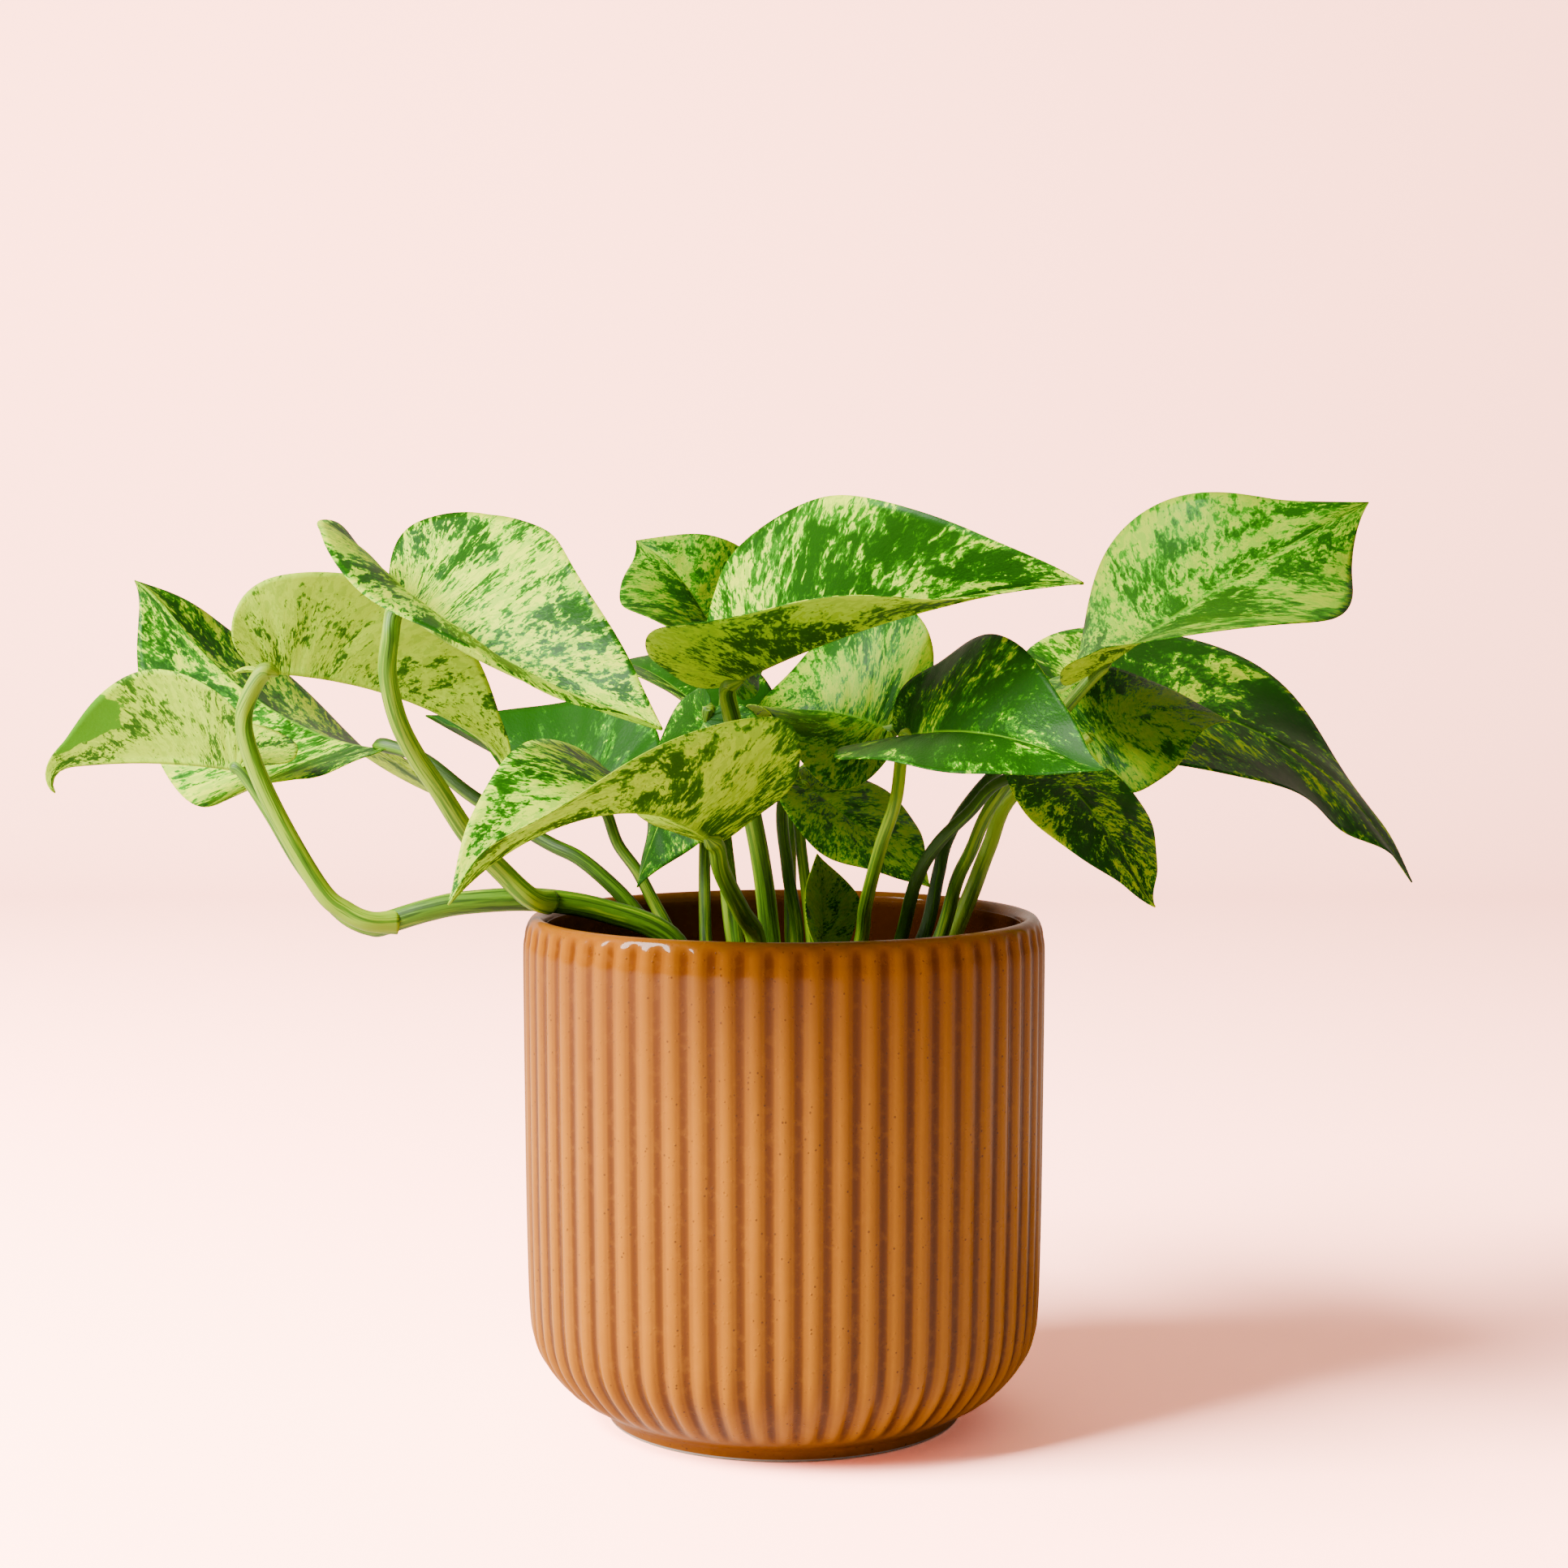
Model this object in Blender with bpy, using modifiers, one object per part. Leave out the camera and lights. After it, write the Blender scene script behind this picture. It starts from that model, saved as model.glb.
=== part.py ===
"""Marble queen pothos in a fluted ceramic pot, built to millimetre sizes.

The plant is an assembly: a turned and fluted pot, the soil in it, one long
trailing vine, a stalk for each leaf and the leaf blades. Run it with
    blender --background --python part.py
or from Blender's text editor. Lengths below are millimetres unless named otherwise.
"""
import math

import bmesh
import bpy
import numpy as np
from mathutils import Vector

MM = 0.001                # one millimetre in Blender's metres

# Pot
POT_RADIUS = 75.0         # over the ribs, at the widest
POT_HEIGHT = 146.2        # up to the crest of the lip
FOOT_RADIUS = 50.7        # flat unglazed ring that the pot stands on
WALL = 6.2                # thickness of the straight wall
FLOOR = 9.0               # thickness of the bottom
FLUTES = 60               # ribs around the pot
RIB_RELIEF = 0.45         # half of a rib's depth on the wall
RIB_RELIEF_LOW = 0.75     # half of a rib's depth on the bottom curve
COLUMNS_PER_FLUTE = 2

# Soil
SOIL_TOP = 118.0          # level of the soil, well below the lip
FIT_GAP = 0.4             # air left between pieces that touch

# Blades
BLADE_THICKNESS = 0.5
BLADE_ROWS = 11           # along the midrib
BLADE_HALF = (0.0, 0.55, 1.0)   # stations from the midrib out to the margin
LOBE_BACK = 20            # how far the basal lobes sweep back, percent of the length
TIP_FULLNESS = 80         # how late the margin runs in to the tip, percent
STALK_DROP = 2.7          # how far under the blade its stalk ends

# Colours, linear
GLAZE = (0.40, 0.15, 0.03)
EARTH = (0.045, 0.028, 0.018)
STEM = (0.24, 0.33, 0.08)
GREEN = (0.10, 0.25, 0.035)
CREAM = (0.52, 0.58, 0.28)
PALE = (0.38, 0.45, 0.13)

# Each blade: where its base is, where its midrib points there (heading from +X
# towards +Y, pitch up), how that changes on the way to the tip (sweep, droop, hook
# over the last fifth), how it rolls about the midrib (roll, twist), its length and
# width, and how its halves fold up from the midrib and curl (left, right).
BLADES = {
    "leaf_far_left": dict(base=(-158, 5, 188), heading=150, pitch=5, droop=15, sweep=15,
                          roll=30, twist=-10, length=74, width=61, fold=(35, 45), hook=130,
                          lobe=17, tip=74, colour=PALE),
    "leaf_left_high": dict(base=(-122, 46, 192), heading=130, pitch=0, droop=-62, sweep=38,
                           roll=0, twist=-60, length=124, width=89, fold=(-13, -38), hook=35,
                           lobe=11, tip=87, colour=CREAM),
    "leaf_left_arch": dict(base=(-147, -15, 217), heading=7, pitch=-4, droop=39, sweep=17,
                           roll=-26, twist=7, length=81, width=66, fold=(23, 41), hook=70,
                           tip=72, colour=PALE),
    "leaf_left_top": dict(base=(-105, -45, 235), heading=-54, pitch=-21, droop=-7, sweep=30,
                          roll=-12, twist=42, length=102, width=78, fold=(60, 53),
                          curl=(0, -58), lobe=32, tip=91, colour=CREAM),
    "leaf_under_left": dict(base=(-54, 33, 174), heading=130, pitch=15, droop=-10, sweep=25,
                            roll=-25, twist=15, length=81, width=66, fold=(40, 32), colour=GREEN),
    "leaf_front": dict(base=(-19, -53, 171), heading=245, pitch=28, droop=77, sweep=-48,
                       roll=46, twist=-24, length=98, width=81, fold=(0, 65), lobe=8,
                       colour=PALE),
    "leaf_back_left": dict(base=(-17, 40, 214), heading=153, pitch=73, droop=52, sweep=-15,
                           roll=15, twist=-65, length=57, width=69, fold=(10, 5), colour=CREAM),
    "leaf_top_centre": dict(base=(-16, -14, 213), heading=-45, pitch=20, droop=13, sweep=18,
                            roll=22, twist=36, length=120, width=80, fold=(55, 46), hook=10,
                            lobe=13, tip=85, colour=GREEN),
    "leaf_centre_right": dict(base=(33, -35, 199), heading=-56, pitch=9, droop=33, sweep=13,
                              roll=26, twist=26, length=78, width=57, fold=(34, 19), hook=-25,
                              tip=75, colour=GREEN),
    "leaf_pale_back": dict(base=(31, 12, 199), heading=157, pitch=22, droop=48, sweep=0,
                           roll=-56, twist=63, length=50, width=73, fold=(22, 31), hook=-25,
                           colour=PALE),
    "leaf_hanging": dict(base=(6, -1, 184), heading=-22, pitch=-35, droop=0, sweep=-12,
                         roll=14, twist=18, length=49, width=48, fold=(-5, 9), colour=PALE),
    "leaf_inner": dict(base=(11, -2, 134), heading=125, pitch=95, droop=22, sweep=-5,
                       roll=37, twist=-32, length=30, width=35, fold=(17, 9), colour=PALE),
    "leaf_right_high": dict(base=(88, -16, 217), heading=3, pitch=35, droop=13, sweep=28,
                            roll=-4, twist=61, length=100, width=109, fold=(2, 8), tip=69,
                            colour=CREAM),
    "leaf_right_droop": dict(base=(94, 50, 207), heading=17, pitch=0, droop=64, sweep=-5,
                             roll=30, twist=0, length=131, width=87, fold=(4, 3), hook=-10,
                             tip=85, colour=GREEN),
    "leaf_right_mid": dict(base=(88, 12, 196), heading=3, pitch=33, droop=60, sweep=5,
                           roll=28, twist=-27, length=46, width=58, fold=(12, -18), hook=-15,
                           colour=PALE),
    "leaf_right_low": dict(base=(75, -26, 190), heading=-46, pitch=-35, droop=30, sweep=12,
                           roll=4, twist=13, length=51, width=51, fold=(-7, 6), hook=-28,
                           colour=GREEN),
    "leaf_grey_back": dict(base=(-19, 62, 197), heading=130, pitch=30, droop=30, sweep=-17,
                           roll=14, twist=-31, length=72, width=56, fold=(17, 20), colour=GREEN),
    "leaf_behind_front": dict(base=(-22, 6, 204), heading=190, pitch=-63, droop=10, sweep=-13,
                              roll=-31, twist=5, length=55, width=50, fold=(-22, -12),
                              colour=GREEN),
    "leaf_upright_back": dict(base=(2, 47, 199), heading=73, pitch=45, droop=18, sweep=0,
                              roll=-30, twist=-17, length=48, width=34, fold=(1, 14), colour=PALE),
}

# Each stalk: the points it grows through, from its foot up, and its radius at the
# foot and at the blade. A foot of unknown height stands on the soil. A stalk with a
# leaf ends just under that blade's base, or above it where the halves hang down.
STALKS = {
    "vine_left": dict(path=[(-24, -6, None), (-33, -6, 140), (-52, -8, 148), (-71, -12, 151.5),
                            (-90, -15, 151), (-101, -16, 149), (-114, -16, 145)],
                      radius=(3.6, 3.3)),
    "stalk_left_arch": dict(path=[(-117.5, -19, 146), (-124, -19, 149), (-131, -19, 155),
                                  (-143, -17, 175), (-151, -16, 193), (-153, -15, 205)],
                            leaf="leaf_left_arch", radius=(3.2, 2.3)),
    "stalk_far_left": dict(path=[(-117.5, -12, 143), (-127, -9, 147), (-139, -4, 160),
                                 (-149, 1, 175)],
                           leaf="leaf_far_left", radius=(2.3, 1.7)),
    "stalk_left_top": dict(path=[(-72, -19, 153), (-79, -22, 160), (-88, -28, 171),
                                 (-96, -34, 185), (-102, -38, 195), (-106, -42, 205),
                                 (-108, -45, 217), (-107, -46, 227)],
                           leaf="leaf_left_top", radius=(3.3, 2.3)),
    "stalk_left_high": dict(path=[(-30, 8, None), (-37, 8, 139), (-42, 9, 144), (-49, 10, 152),
                                  (-60, 13, 161), (-71, 18, 166), (-93, 30, 178),
                                  (-109, 39, 189)],
                            leaf="leaf_left_high", above=True, radius=(2.7, 1.9)),
    "stalk_under_left": dict(path=[(-26, 20, None), (-34, 22, 138), (-39, 25, 147),
                                   (-44, 28, 156), (-50, 31, 164)],
                             leaf="leaf_under_left", radius=(2.2, 1.7)),
    "stalk_front": dict(path=[(-6, -22, None), (-8, -25, 142), (-12, -36, 151), (-17, -48, 163)],
                        leaf="leaf_front", radius=(3.3, 2.2)),
    "stalk_back_left": dict(path=[(-12, 28, None), (-16, 29, 138), (-19, 38, 174)],
                            leaf="leaf_back_left", radius=(2.2, 1.7)),
    "stalk_top_centre": dict(path=[(-3, -10, None), (-4, -12, 141), (-7, -14, 165),
                                   (-14, -16, 200)],
                             leaf="leaf_top_centre", radius=(3.4, 2.3)),
    "stalk_centre_right": dict(path=[(18, -18, None), (22, -22, 142), (23, -27, 152),
                                     (27, -33, 169), (31, -36, 182)],
                               leaf="leaf_centre_right", radius=(2.2, 1.7)),
    "stalk_pale_back": dict(path=[(2, 26, None), (4, 28, 137), (1, 29, 157), (0, 28, 178),
                                  (11, 20, 190)],
                            leaf="leaf_pale_back", radius=(2.2, 1.6)),
    "stalk_hanging": dict(path=[(9, 12, None), (8, 12, 139), (5, 8, 165), (4, 3, 177)],
                          leaf="leaf_hanging", radius=(2.0, 1.4)),
    "stalk_right_high": dict(path=[(38, 0, None), (46, 0, 141), (50, -2, 156), (54, -4, 165),
                                   (60, -7, 179), (75, -13, 200)],
                             leaf="leaf_right_high", radius=(2.3, 1.7)),
    "stalk_right_droop": dict(path=[(34, 17, None), (42, 18, 139), (46, 24, 155), (49, 30, 165),
                                    (56, 37, 176), (68, 43, 188)],
                              leaf="leaf_right_droop", radius=(2.3, 1.7)),
    "stalk_right_mid": dict(path=[(43, 8, None), (50, 7, 140), (55, 7, 152), (60, 8, 165),
                                  (67, 10, 180)],
                            leaf="leaf_right_mid", radius=(3.0, 1.9)),
    "stalk_right_low": dict(path=[(27, -18, None), (33, -21, 141), (37, -26, 158),
                                  (43, -29, 169), (52, -29, 178), (60, -28, 186)],
                            leaf="leaf_right_low", radius=(2.2, 1.5)),
    "stalk_behind_front": dict(path=[(-12, 10, None), (-14, 11, 140), (-18, 14, 175)],
                               leaf="leaf_behind_front", radius=(2.2, 1.5)),
    "stalk_grey_back": dict(path=[(-22, 38, None), (-24, 41, 137), (-24, 57, 173)],
                            leaf="leaf_grey_back", radius=(2.2, 1.6)),
    "stalk_upright_back": dict(path=[(3, 38, None), (2, 40, 137), (2, 45, 173)],
                               leaf="leaf_upright_back", radius=(2.2, 1.6)),
    "stalk_inner": dict(path=[(14, 1, None), (12.5, 0, 127)], leaf="leaf_inner",
                        radius=(1.3, 0.9)),
}


def material(name, colour, roughness):
    """Return a Principled material of one colour."""
    made = bpy.data.materials.new(name)
    made.use_nodes = True
    shader = made.node_tree.nodes["Principled BSDF"]
    shader.inputs["Base Color"].default_value = (*colour, 1.0)
    shader.inputs["Roughness"].default_value = roughness
    shader.inputs["Metallic"].default_value = 0.0
    return made


def add_mesh(name, vertices, faces, made, collection):
    """Make a smooth mesh object from millimetre vertices, with faces turned outward."""
    mesh = bpy.data.meshes.new(name)
    mesh.from_pydata([tuple(MM * c for c in v) for v in vertices], [], faces)
    cage = bmesh.new()
    cage.from_mesh(mesh)
    bmesh.ops.recalc_face_normals(cage, faces=cage.faces)
    cage.to_mesh(mesh)
    cage.free()
    mesh.materials.append(made)
    mesh.shade_smooth()
    thing = bpy.data.objects.new(name, mesh)
    collection.objects.link(thing)
    return thing


# ---------------------------------------------------------------- pot and soil
def ring_faces(rings, columns, first=0):
    """Quads between rings of vertices that each go once around the axis."""
    return [(first + r * columns + c, first + r * columns + (c + 1) % columns,
             first + (r + 1) * columns + (c + 1) % columns, first + (r + 1) * columns + c)
            for r in range(rings - 1) for c in range(columns)]


def build_pot(collection):
    """The fluted wall and the plain lip, foot and inside, lofted ring by ring."""
    columns = FLUTES * COLUMNS_PER_FLUTE
    inner = POT_RADIUS - WALL
    low, wall = RIB_RELIEF_LOW, RIB_RELIEF
    # (radius, height, half of the rib's depth), from the foot up and over the lip
    profile = [(FOOT_RADIUS, 0, 0), (FOOT_RADIUS + 1.6, 3.4, 0), (56.5, 6.0, low * 0.4),
               (63.0, 10.7, low), (67.6, 15.5, low), (71.0, 20.5, low), (72.8, 26, low),
               (74.0, 38, wall), (POT_RADIUS - 0.2, 90, wall), (POT_RADIUS, 136, wall),
               (74.6, 140.5, 0), (74.2, 143.5, 0), (71.5, POT_HEIGHT, 0), (69.0, 143.6, 0),
               (inner, 138, 0), (inner - 0.5, 40, 0), (inner - 3.5, 22, 0), (58, 12, 0),
               (46, FLOOR, 0)]
    vertices = []
    for radius, height, relief in profile:
        for column in range(columns):
            angle = 2 * math.pi * column / columns
            rib = radius + relief * math.cos(math.pi * column)
            vertices.append((rib * math.cos(angle), rib * math.sin(angle), height))
    faces = ring_faces(len(profile), columns)
    last = (len(profile) - 1) * columns
    faces.append(tuple(range(columns)))
    faces.append(tuple(range(last, last + columns)))
    add_mesh("pot", vertices, faces, material("glaze", GLAZE, 0.25), collection)


def build_soil(collection):
    """The soil fills the pot's inside up to its level, a fit gap away from the clay."""
    columns = FLUTES
    side = POT_RADIUS - WALL - 0.5 - FIT_GAP
    profile = [(44, FLOOR + FIT_GAP), (56.5, 12.8), (side - 3.4, 23), (side - 0.1, 41),
               (side, SOIL_TOP - 2), (side - 2, SOIL_TOP)]
    vertices = [(radius * math.cos(2 * math.pi * c / columns),
                 radius * math.sin(2 * math.pi * c / columns), height)
                for radius, height in profile for c in range(columns)]
    faces = ring_faces(len(profile), columns)
    last = (len(profile) - 1) * columns
    faces.append(tuple(range(columns)))
    faces.append(tuple(range(last, last + columns)))
    add_mesh("soil", vertices, faces, material("earth", EARTH, 0.95), collection)


# ---------------------------------------------------------------- leaf blades
def cubic(points, t):
    """Point on a cubic Bezier curve at t."""
    a, b, c, d = (np.array(p, float) for p in points)
    t = t[:, None]
    return (1 - t)**3 * a + 3 * (1 - t)**2 * t * b + 3 * (1 - t) * t * t * c + t**3 * d


def margin(t, lobe, tip):
    """Half outline of a flat blade in units of (length, half width), notch to tip."""
    back = lobe / 100
    shoulder = cubic([(0, 0), (-back, 0.12), (0.03 - back, 0.98), (0.25, 1)],
                     np.clip(2 * t, 0, 1))
    point = cubic([(0.25, 1), (0.60, 1.02), (tip / 100, 0.24), (1, 0)],
                  np.clip(2 * t - 1, 0, 1))
    return np.where((t < 0.5)[:, None], shoulder, point)


def blade_surface(spec, t, v):
    """Points of a blade, rows t from the base to the tip, stations v from left to right.

    A row joins a point of the midrib to the points of the margin on both sides, so it
    runs like a side vein. The midrib is a curve whose heading and pitch change along
    it, and each half is an arc that leaves it at the fold angle and bends by the curl.
    """
    length, half = spec["length"], spec["width"] / 2
    outline = margin(t, spec.get("lobe", LOBE_BACK), spec.get("tip", TIP_FULLNESS))
    out = np.abs(v)[None, :]
    start = (t**3)[:, None]
    along = start + (outline[:, :1] - start) * out**1.4
    across = outline[:, 1:] * out
    s = np.linspace(0, 1, 81)
    hook = spec.get("hook", 0) * np.clip((s - 0.8) / 0.2, 0, 1)**2
    pitch = np.radians(spec["pitch"] - spec["droop"] * s**1.2 - hook)
    heading = np.radians(spec["heading"] + spec["sweep"] * s)
    ahead = np.stack([np.cos(pitch) * np.cos(heading), np.cos(pitch) * np.sin(heading),
                      np.sin(pitch)], -1)
    steps = (ahead[1:] + ahead[:-1]) / 2 * (s[1] - s[0]) * length
    midrib = np.concatenate([[[0, 0, 0]], np.cumsum(steps, 0)])
    side = np.stack([np.sin(heading), -np.cos(heading), 0 * heading], -1)
    up = np.cross(side, ahead)
    roll = np.radians(spec["roll"] + spec["twist"] * s)[:, None]
    side, up = side * np.cos(roll) - up * np.sin(roll), side * np.sin(roll) + up * np.cos(roll)

    def read(table):
        place = np.clip(along, 0, 1)
        return np.stack([np.interp(place, s, table[:, k]) for k in range(3)], -1)

    centre = read(midrib) + np.minimum(along, 0)[..., None] * length * ahead[0]
    right = (v >= 0)[None, :]
    fold = np.radians(np.where(right, spec["fold"][1], spec["fold"][0]))
    bend = spec.get("curl", (0, 0))
    curl = np.radians(np.where(right, bend[1], bend[0]))
    curl = np.where(np.abs(curl) < 0.001, 0.001, curl)
    lateral = half * (np.sin(fold + curl * across) - np.sin(fold)) / curl
    lift = half * (np.cos(fold) - np.cos(fold + curl * across)) / curl
    lateral = lateral * np.where(right, 1, -1)
    offset = read(side) * lateral[..., None] + read(up) * lift[..., None]
    return centre + offset + np.array(spec["base"], float)


def build_blade(name, spec, collection):
    """A blade is its grid of points, closed to one point at each end, then thickened."""
    half = np.array(BLADE_HALF)
    v = np.concatenate([-half[:0:-1], half])
    t = np.linspace(0, 1, BLADE_ROWS)
    grid = blade_surface(spec, t, v)
    width = len(v)
    vertices = [grid[0, 0]] + list(grid[1:-1].reshape(-1, 3)) + [grid[-1, 0]]
    rows = BLADE_ROWS - 2
    tip = len(vertices) - 1
    faces = [(0, 2 + c, 1 + c) for c in range(width - 1)]
    for r in range(rows - 1):
        low = 1 + r * width
        faces += [(low + c, low + c + 1, low + width + c + 1, low + width + c)
                  for c in range(width - 1)]
    low = 1 + (rows - 1) * width
    faces += [(low + c, low + c + 1, tip) for c in range(width - 1)]
    blade = add_mesh(name, vertices, faces, material(name + "_skin", spec["colour"], 0.45),
                     collection)
    shell = blade.modifiers.new("thickness", "SOLIDIFY")
    shell.thickness = BLADE_THICKNESS * MM
    shell.offset = 0


def blade_frame(spec):
    """Base point of a blade and its upward normal there."""
    near = blade_surface(dict(spec, fold=(0, 0), curl=(0, 0)), np.array([0, 0.35]),
                         np.array([-1.0, 0, 1]))
    ahead = near[1, 1] - near[0, 1]
    side = near[1, 2] - near[1, 0]
    up = np.cross(side, ahead)
    return near[0, 1], up / np.linalg.norm(up)


# ---------------------------------------------------------------- stalks
def smooth_path(points, between):
    """Catmull-Rom curve through the points, with a few points between each two."""
    points = [Vector(p) for p in points]
    ends = [2 * points[0] - points[1]] + points + [2 * points[-1] - points[-2]]
    path = []
    for a, b, c, d in zip(ends, ends[1:], ends[2:], ends[3:]):
        for step in range(between):
            t = step / between
            path.append(0.5 * (2 * b + t * (c - a) + t * t * (2 * a - 5 * b + 4 * c - d)
                               + t**3 * (3 * b - 3 * c + d - a)))
    return path + [points[-1]]


def build_stalk(name, spec, made, collection):
    """A stalk is a round curve that thins towards its blade and has filled ends."""
    points = list(spec["path"])
    foot_point = []
    if points[0][2] is None:
        x, y, _ = points[0]
        foot_point = [Vector((x, y, SOIL_TOP + FIT_GAP))]
        points[0] = (x, y, SOIL_TOP + 4)
    if "leaf" in spec:
        base, up = blade_frame(BLADES[spec["leaf"]])
        drop = -STALK_DROP if spec.get("above") else STALK_DROP
        points.append(tuple(base - drop * up))
    path = foot_point + smooth_path(points, 2)
    curve = bpy.data.curves.new(name, "CURVE")
    curve.dimensions = "3D"
    curve.bevel_depth = MM
    curve.bevel_resolution = 2
    curve.use_fill_caps = True
    spline = curve.splines.new("POLY")
    spline.points.add(len(path) - 1)
    foot, end = spec["radius"]
    for number, (point, place) in enumerate(zip(spline.points, path)):
        share = number / (len(path) - 1)
        point.co = (*(MM * place), 1)
        point.radius = foot + (end - foot) * share
    curve.materials.append(made)
    thing = bpy.data.objects.new(name, curve)
    collection.objects.link(thing)


def main():
    for old in list(bpy.data.objects):
        bpy.data.objects.remove(old, do_unlink=True)
    plant = bpy.data.collections.new("potted_pothos")
    bpy.context.scene.collection.children.link(plant)
    build_pot(plant)
    build_soil(plant)
    for name, spec in BLADES.items():
        build_blade(name, spec, plant)
    stem = material("stem", STEM, 0.5)
    for name, spec in STALKS.items():
        build_stalk(name, spec, stem, plant)


main()
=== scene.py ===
# %% [markdown]
# # A potted marble queen pothos
#
# The plant is a fluted ceramic pot with soil in it, stalks that rise out of the soil,
# one long vine that lies over the rim, and heart-shaped blades marbled green and cream.
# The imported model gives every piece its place. This lesson builds the look around it:
# each piece is a surface worked out from a formula with numpy, and each finish is a
# set of shader nodes. All lengths below are millimetres until the mesh is made.

# %% Load the frame
import math

import bpy
import numpy as np
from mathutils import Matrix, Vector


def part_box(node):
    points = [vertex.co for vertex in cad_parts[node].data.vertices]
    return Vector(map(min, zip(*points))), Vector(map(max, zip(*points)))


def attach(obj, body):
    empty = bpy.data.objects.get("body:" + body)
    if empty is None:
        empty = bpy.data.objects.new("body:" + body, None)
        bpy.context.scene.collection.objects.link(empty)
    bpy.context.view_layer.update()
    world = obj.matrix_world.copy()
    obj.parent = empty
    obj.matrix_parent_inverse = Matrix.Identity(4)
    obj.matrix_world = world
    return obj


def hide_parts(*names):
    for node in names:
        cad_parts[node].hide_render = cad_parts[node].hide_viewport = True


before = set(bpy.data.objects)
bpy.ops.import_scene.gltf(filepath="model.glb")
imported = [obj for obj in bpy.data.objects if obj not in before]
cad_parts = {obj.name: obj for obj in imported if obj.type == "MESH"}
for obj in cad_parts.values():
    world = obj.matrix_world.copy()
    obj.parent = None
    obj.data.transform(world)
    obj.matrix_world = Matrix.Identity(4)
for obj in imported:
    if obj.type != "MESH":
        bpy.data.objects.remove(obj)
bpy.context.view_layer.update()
MM = 0.001
print("nodes in the frame:", len(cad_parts))

# %% [markdown]
# A shape here is always a grid of points: rows run one way over the surface and
# columns the other. One helper turns such a grid into a mesh. Columns can close into
# a ring, and either end can close to a single point, which shuts a tube or a leaf
# without a hole. Writing the helper once keeps every later cell about shape only.

# %% From a grid of points to a mesh
def grid_faces(rows, columns, ring):
    """Quads (a, b, c, d) between neighbouring rows; with ring the columns wrap round."""
    r, c = np.meshgrid(np.arange(rows - 1), np.arange(columns if ring else columns - 1),
                       indexing="ij")
    beside = (c + 1) % columns
    quads = [r * columns + c, r * columns + beside,
             (r + 1) * columns + beside, (r + 1) * columns + c]
    return np.stack(quads, -1).reshape(-1, 4)


def surface(name, points, ring=False, caps=(False, False), layers=None, flip=False):
    """Make an object from points[rows, columns, 3] in millimetres.

    caps closes the first and last row to its own middle point. layers maps the name of
    a UV map to an array [rows, columns, 2].
    """
    rows, columns = points.shape[:2]
    vertices = points.reshape(-1, 3)
    faces = grid_faces(rows, columns, ring)
    around = np.arange(columns if ring else columns - 1)
    beside = (around + 1) % columns
    fans = []
    for end, row in ((0, 0), (1, rows - 1)):
        if caps[end]:
            middle = points[row].mean(0)
            vertices = np.vstack([vertices, middle])
            pole = np.full(len(around), len(vertices) - 1)
            edge = [row * columns + beside, row * columns + around]
            fans.append(np.stack([pole] + (edge if end == 0 else edge[::-1]), -1))
    corner_lists = faces.tolist() + [f for fan in fans for f in fan.tolist()]
    if flip:
        corner_lists = [f[::-1] for f in corner_lists]
    mesh = bpy.data.meshes.new(name)
    mesh.from_pydata((vertices * MM).tolist(), [], corner_lists)
    corners = np.zeros(len(mesh.loops), dtype=np.int32)
    mesh.loops.foreach_get("vertex_index", corners)
    for layer, values in (layers or {}).items():
        flat = values.reshape(-1, 2)
        for end, row in ((0, 0), (1, rows - 1)):
            if caps[end]:
                flat = np.vstack([flat, values[row].mean(0)])
        uv = mesh.uv_layers.new(name=layer)
        uv.data.foreach_set("uv", flat[corners].astype(np.float32).ravel())
    mesh.shade_smooth()
    thing = bpy.data.objects.new(name, mesh)
    bpy.context.scene.collection.objects.link(thing)
    return thing


def settle(piece, node):
    """Hand a finished piece to the frame: it rides on the plant and stands for a node."""
    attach(piece, "root")
    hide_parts(node)


# %% [markdown]
# Shader trees read best when they are written like sentences. This helper adds one
# node, sets or links its inputs by name and hands back the node. A value that is the
# same all over a surface goes straight on the shader's own socket.

# %% A short way to write nodes
def put(tree, kind, inputs=None, **settings):
    """Add a node; inputs maps a socket's name or number to a value or another socket."""
    made = tree.nodes.new(kind)
    for key, value in settings.items():
        setattr(made, key, value)
    for key, value in (inputs or {}).items():
        socket = made.inputs[key]
        if isinstance(value, bpy.types.NodeSocket):
            tree.links.new(value, socket)
        else:
            socket.default_value = value
    return made


def maths(tree, operation, a, b=0.0):
    """One sum or function of two numbers."""
    return put(tree, "ShaderNodeMath", {0: a, 1: b}, operation=operation).outputs[0]


def blend(tree, factor, a, b):
    """Mix two colours: a * (1 - factor) + b * factor."""
    made = put(tree, "ShaderNodeMix", data_type="RGBA")
    for socket, value in ((made.inputs[0], factor), (made.inputs[6], a),
                          (made.inputs[7], b)):
        if isinstance(value, bpy.types.NodeSocket):
            tree.links.new(value, socket)
        else:
            socket.default_value = value
    return made.outputs[2]


def spread(tree, value, low, high):
    """Smooth step: 0 below low, 1 above high."""
    return put(tree, "ShaderNodeMapRange", {0: value, 1: low, 2: high},
               interpolation_type="SMOOTHSTEP").outputs[0]


def noise(tree, where, scale, detail=3.0, roughness=0.55, distortion=0.0):
    """Smooth noise between 0 and 1, about 0.5 on average."""
    return put(tree, "ShaderNodeTexNoise",
               {"Vector": where, "Scale": scale, "Detail": detail,
                "Roughness": roughness, "Distortion": distortion}).outputs[0]


def shader(name, **constants):
    """A new material; returns it with its tree and Principled node."""
    made = bpy.data.materials.new(name)
    made.use_nodes = True
    tree = made.node_tree
    body = tree.nodes["Principled BSDF"]
    for key, value in constants.items():
        body.inputs[key.replace("_", " ")].default_value = value
    return made, tree, body


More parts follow.
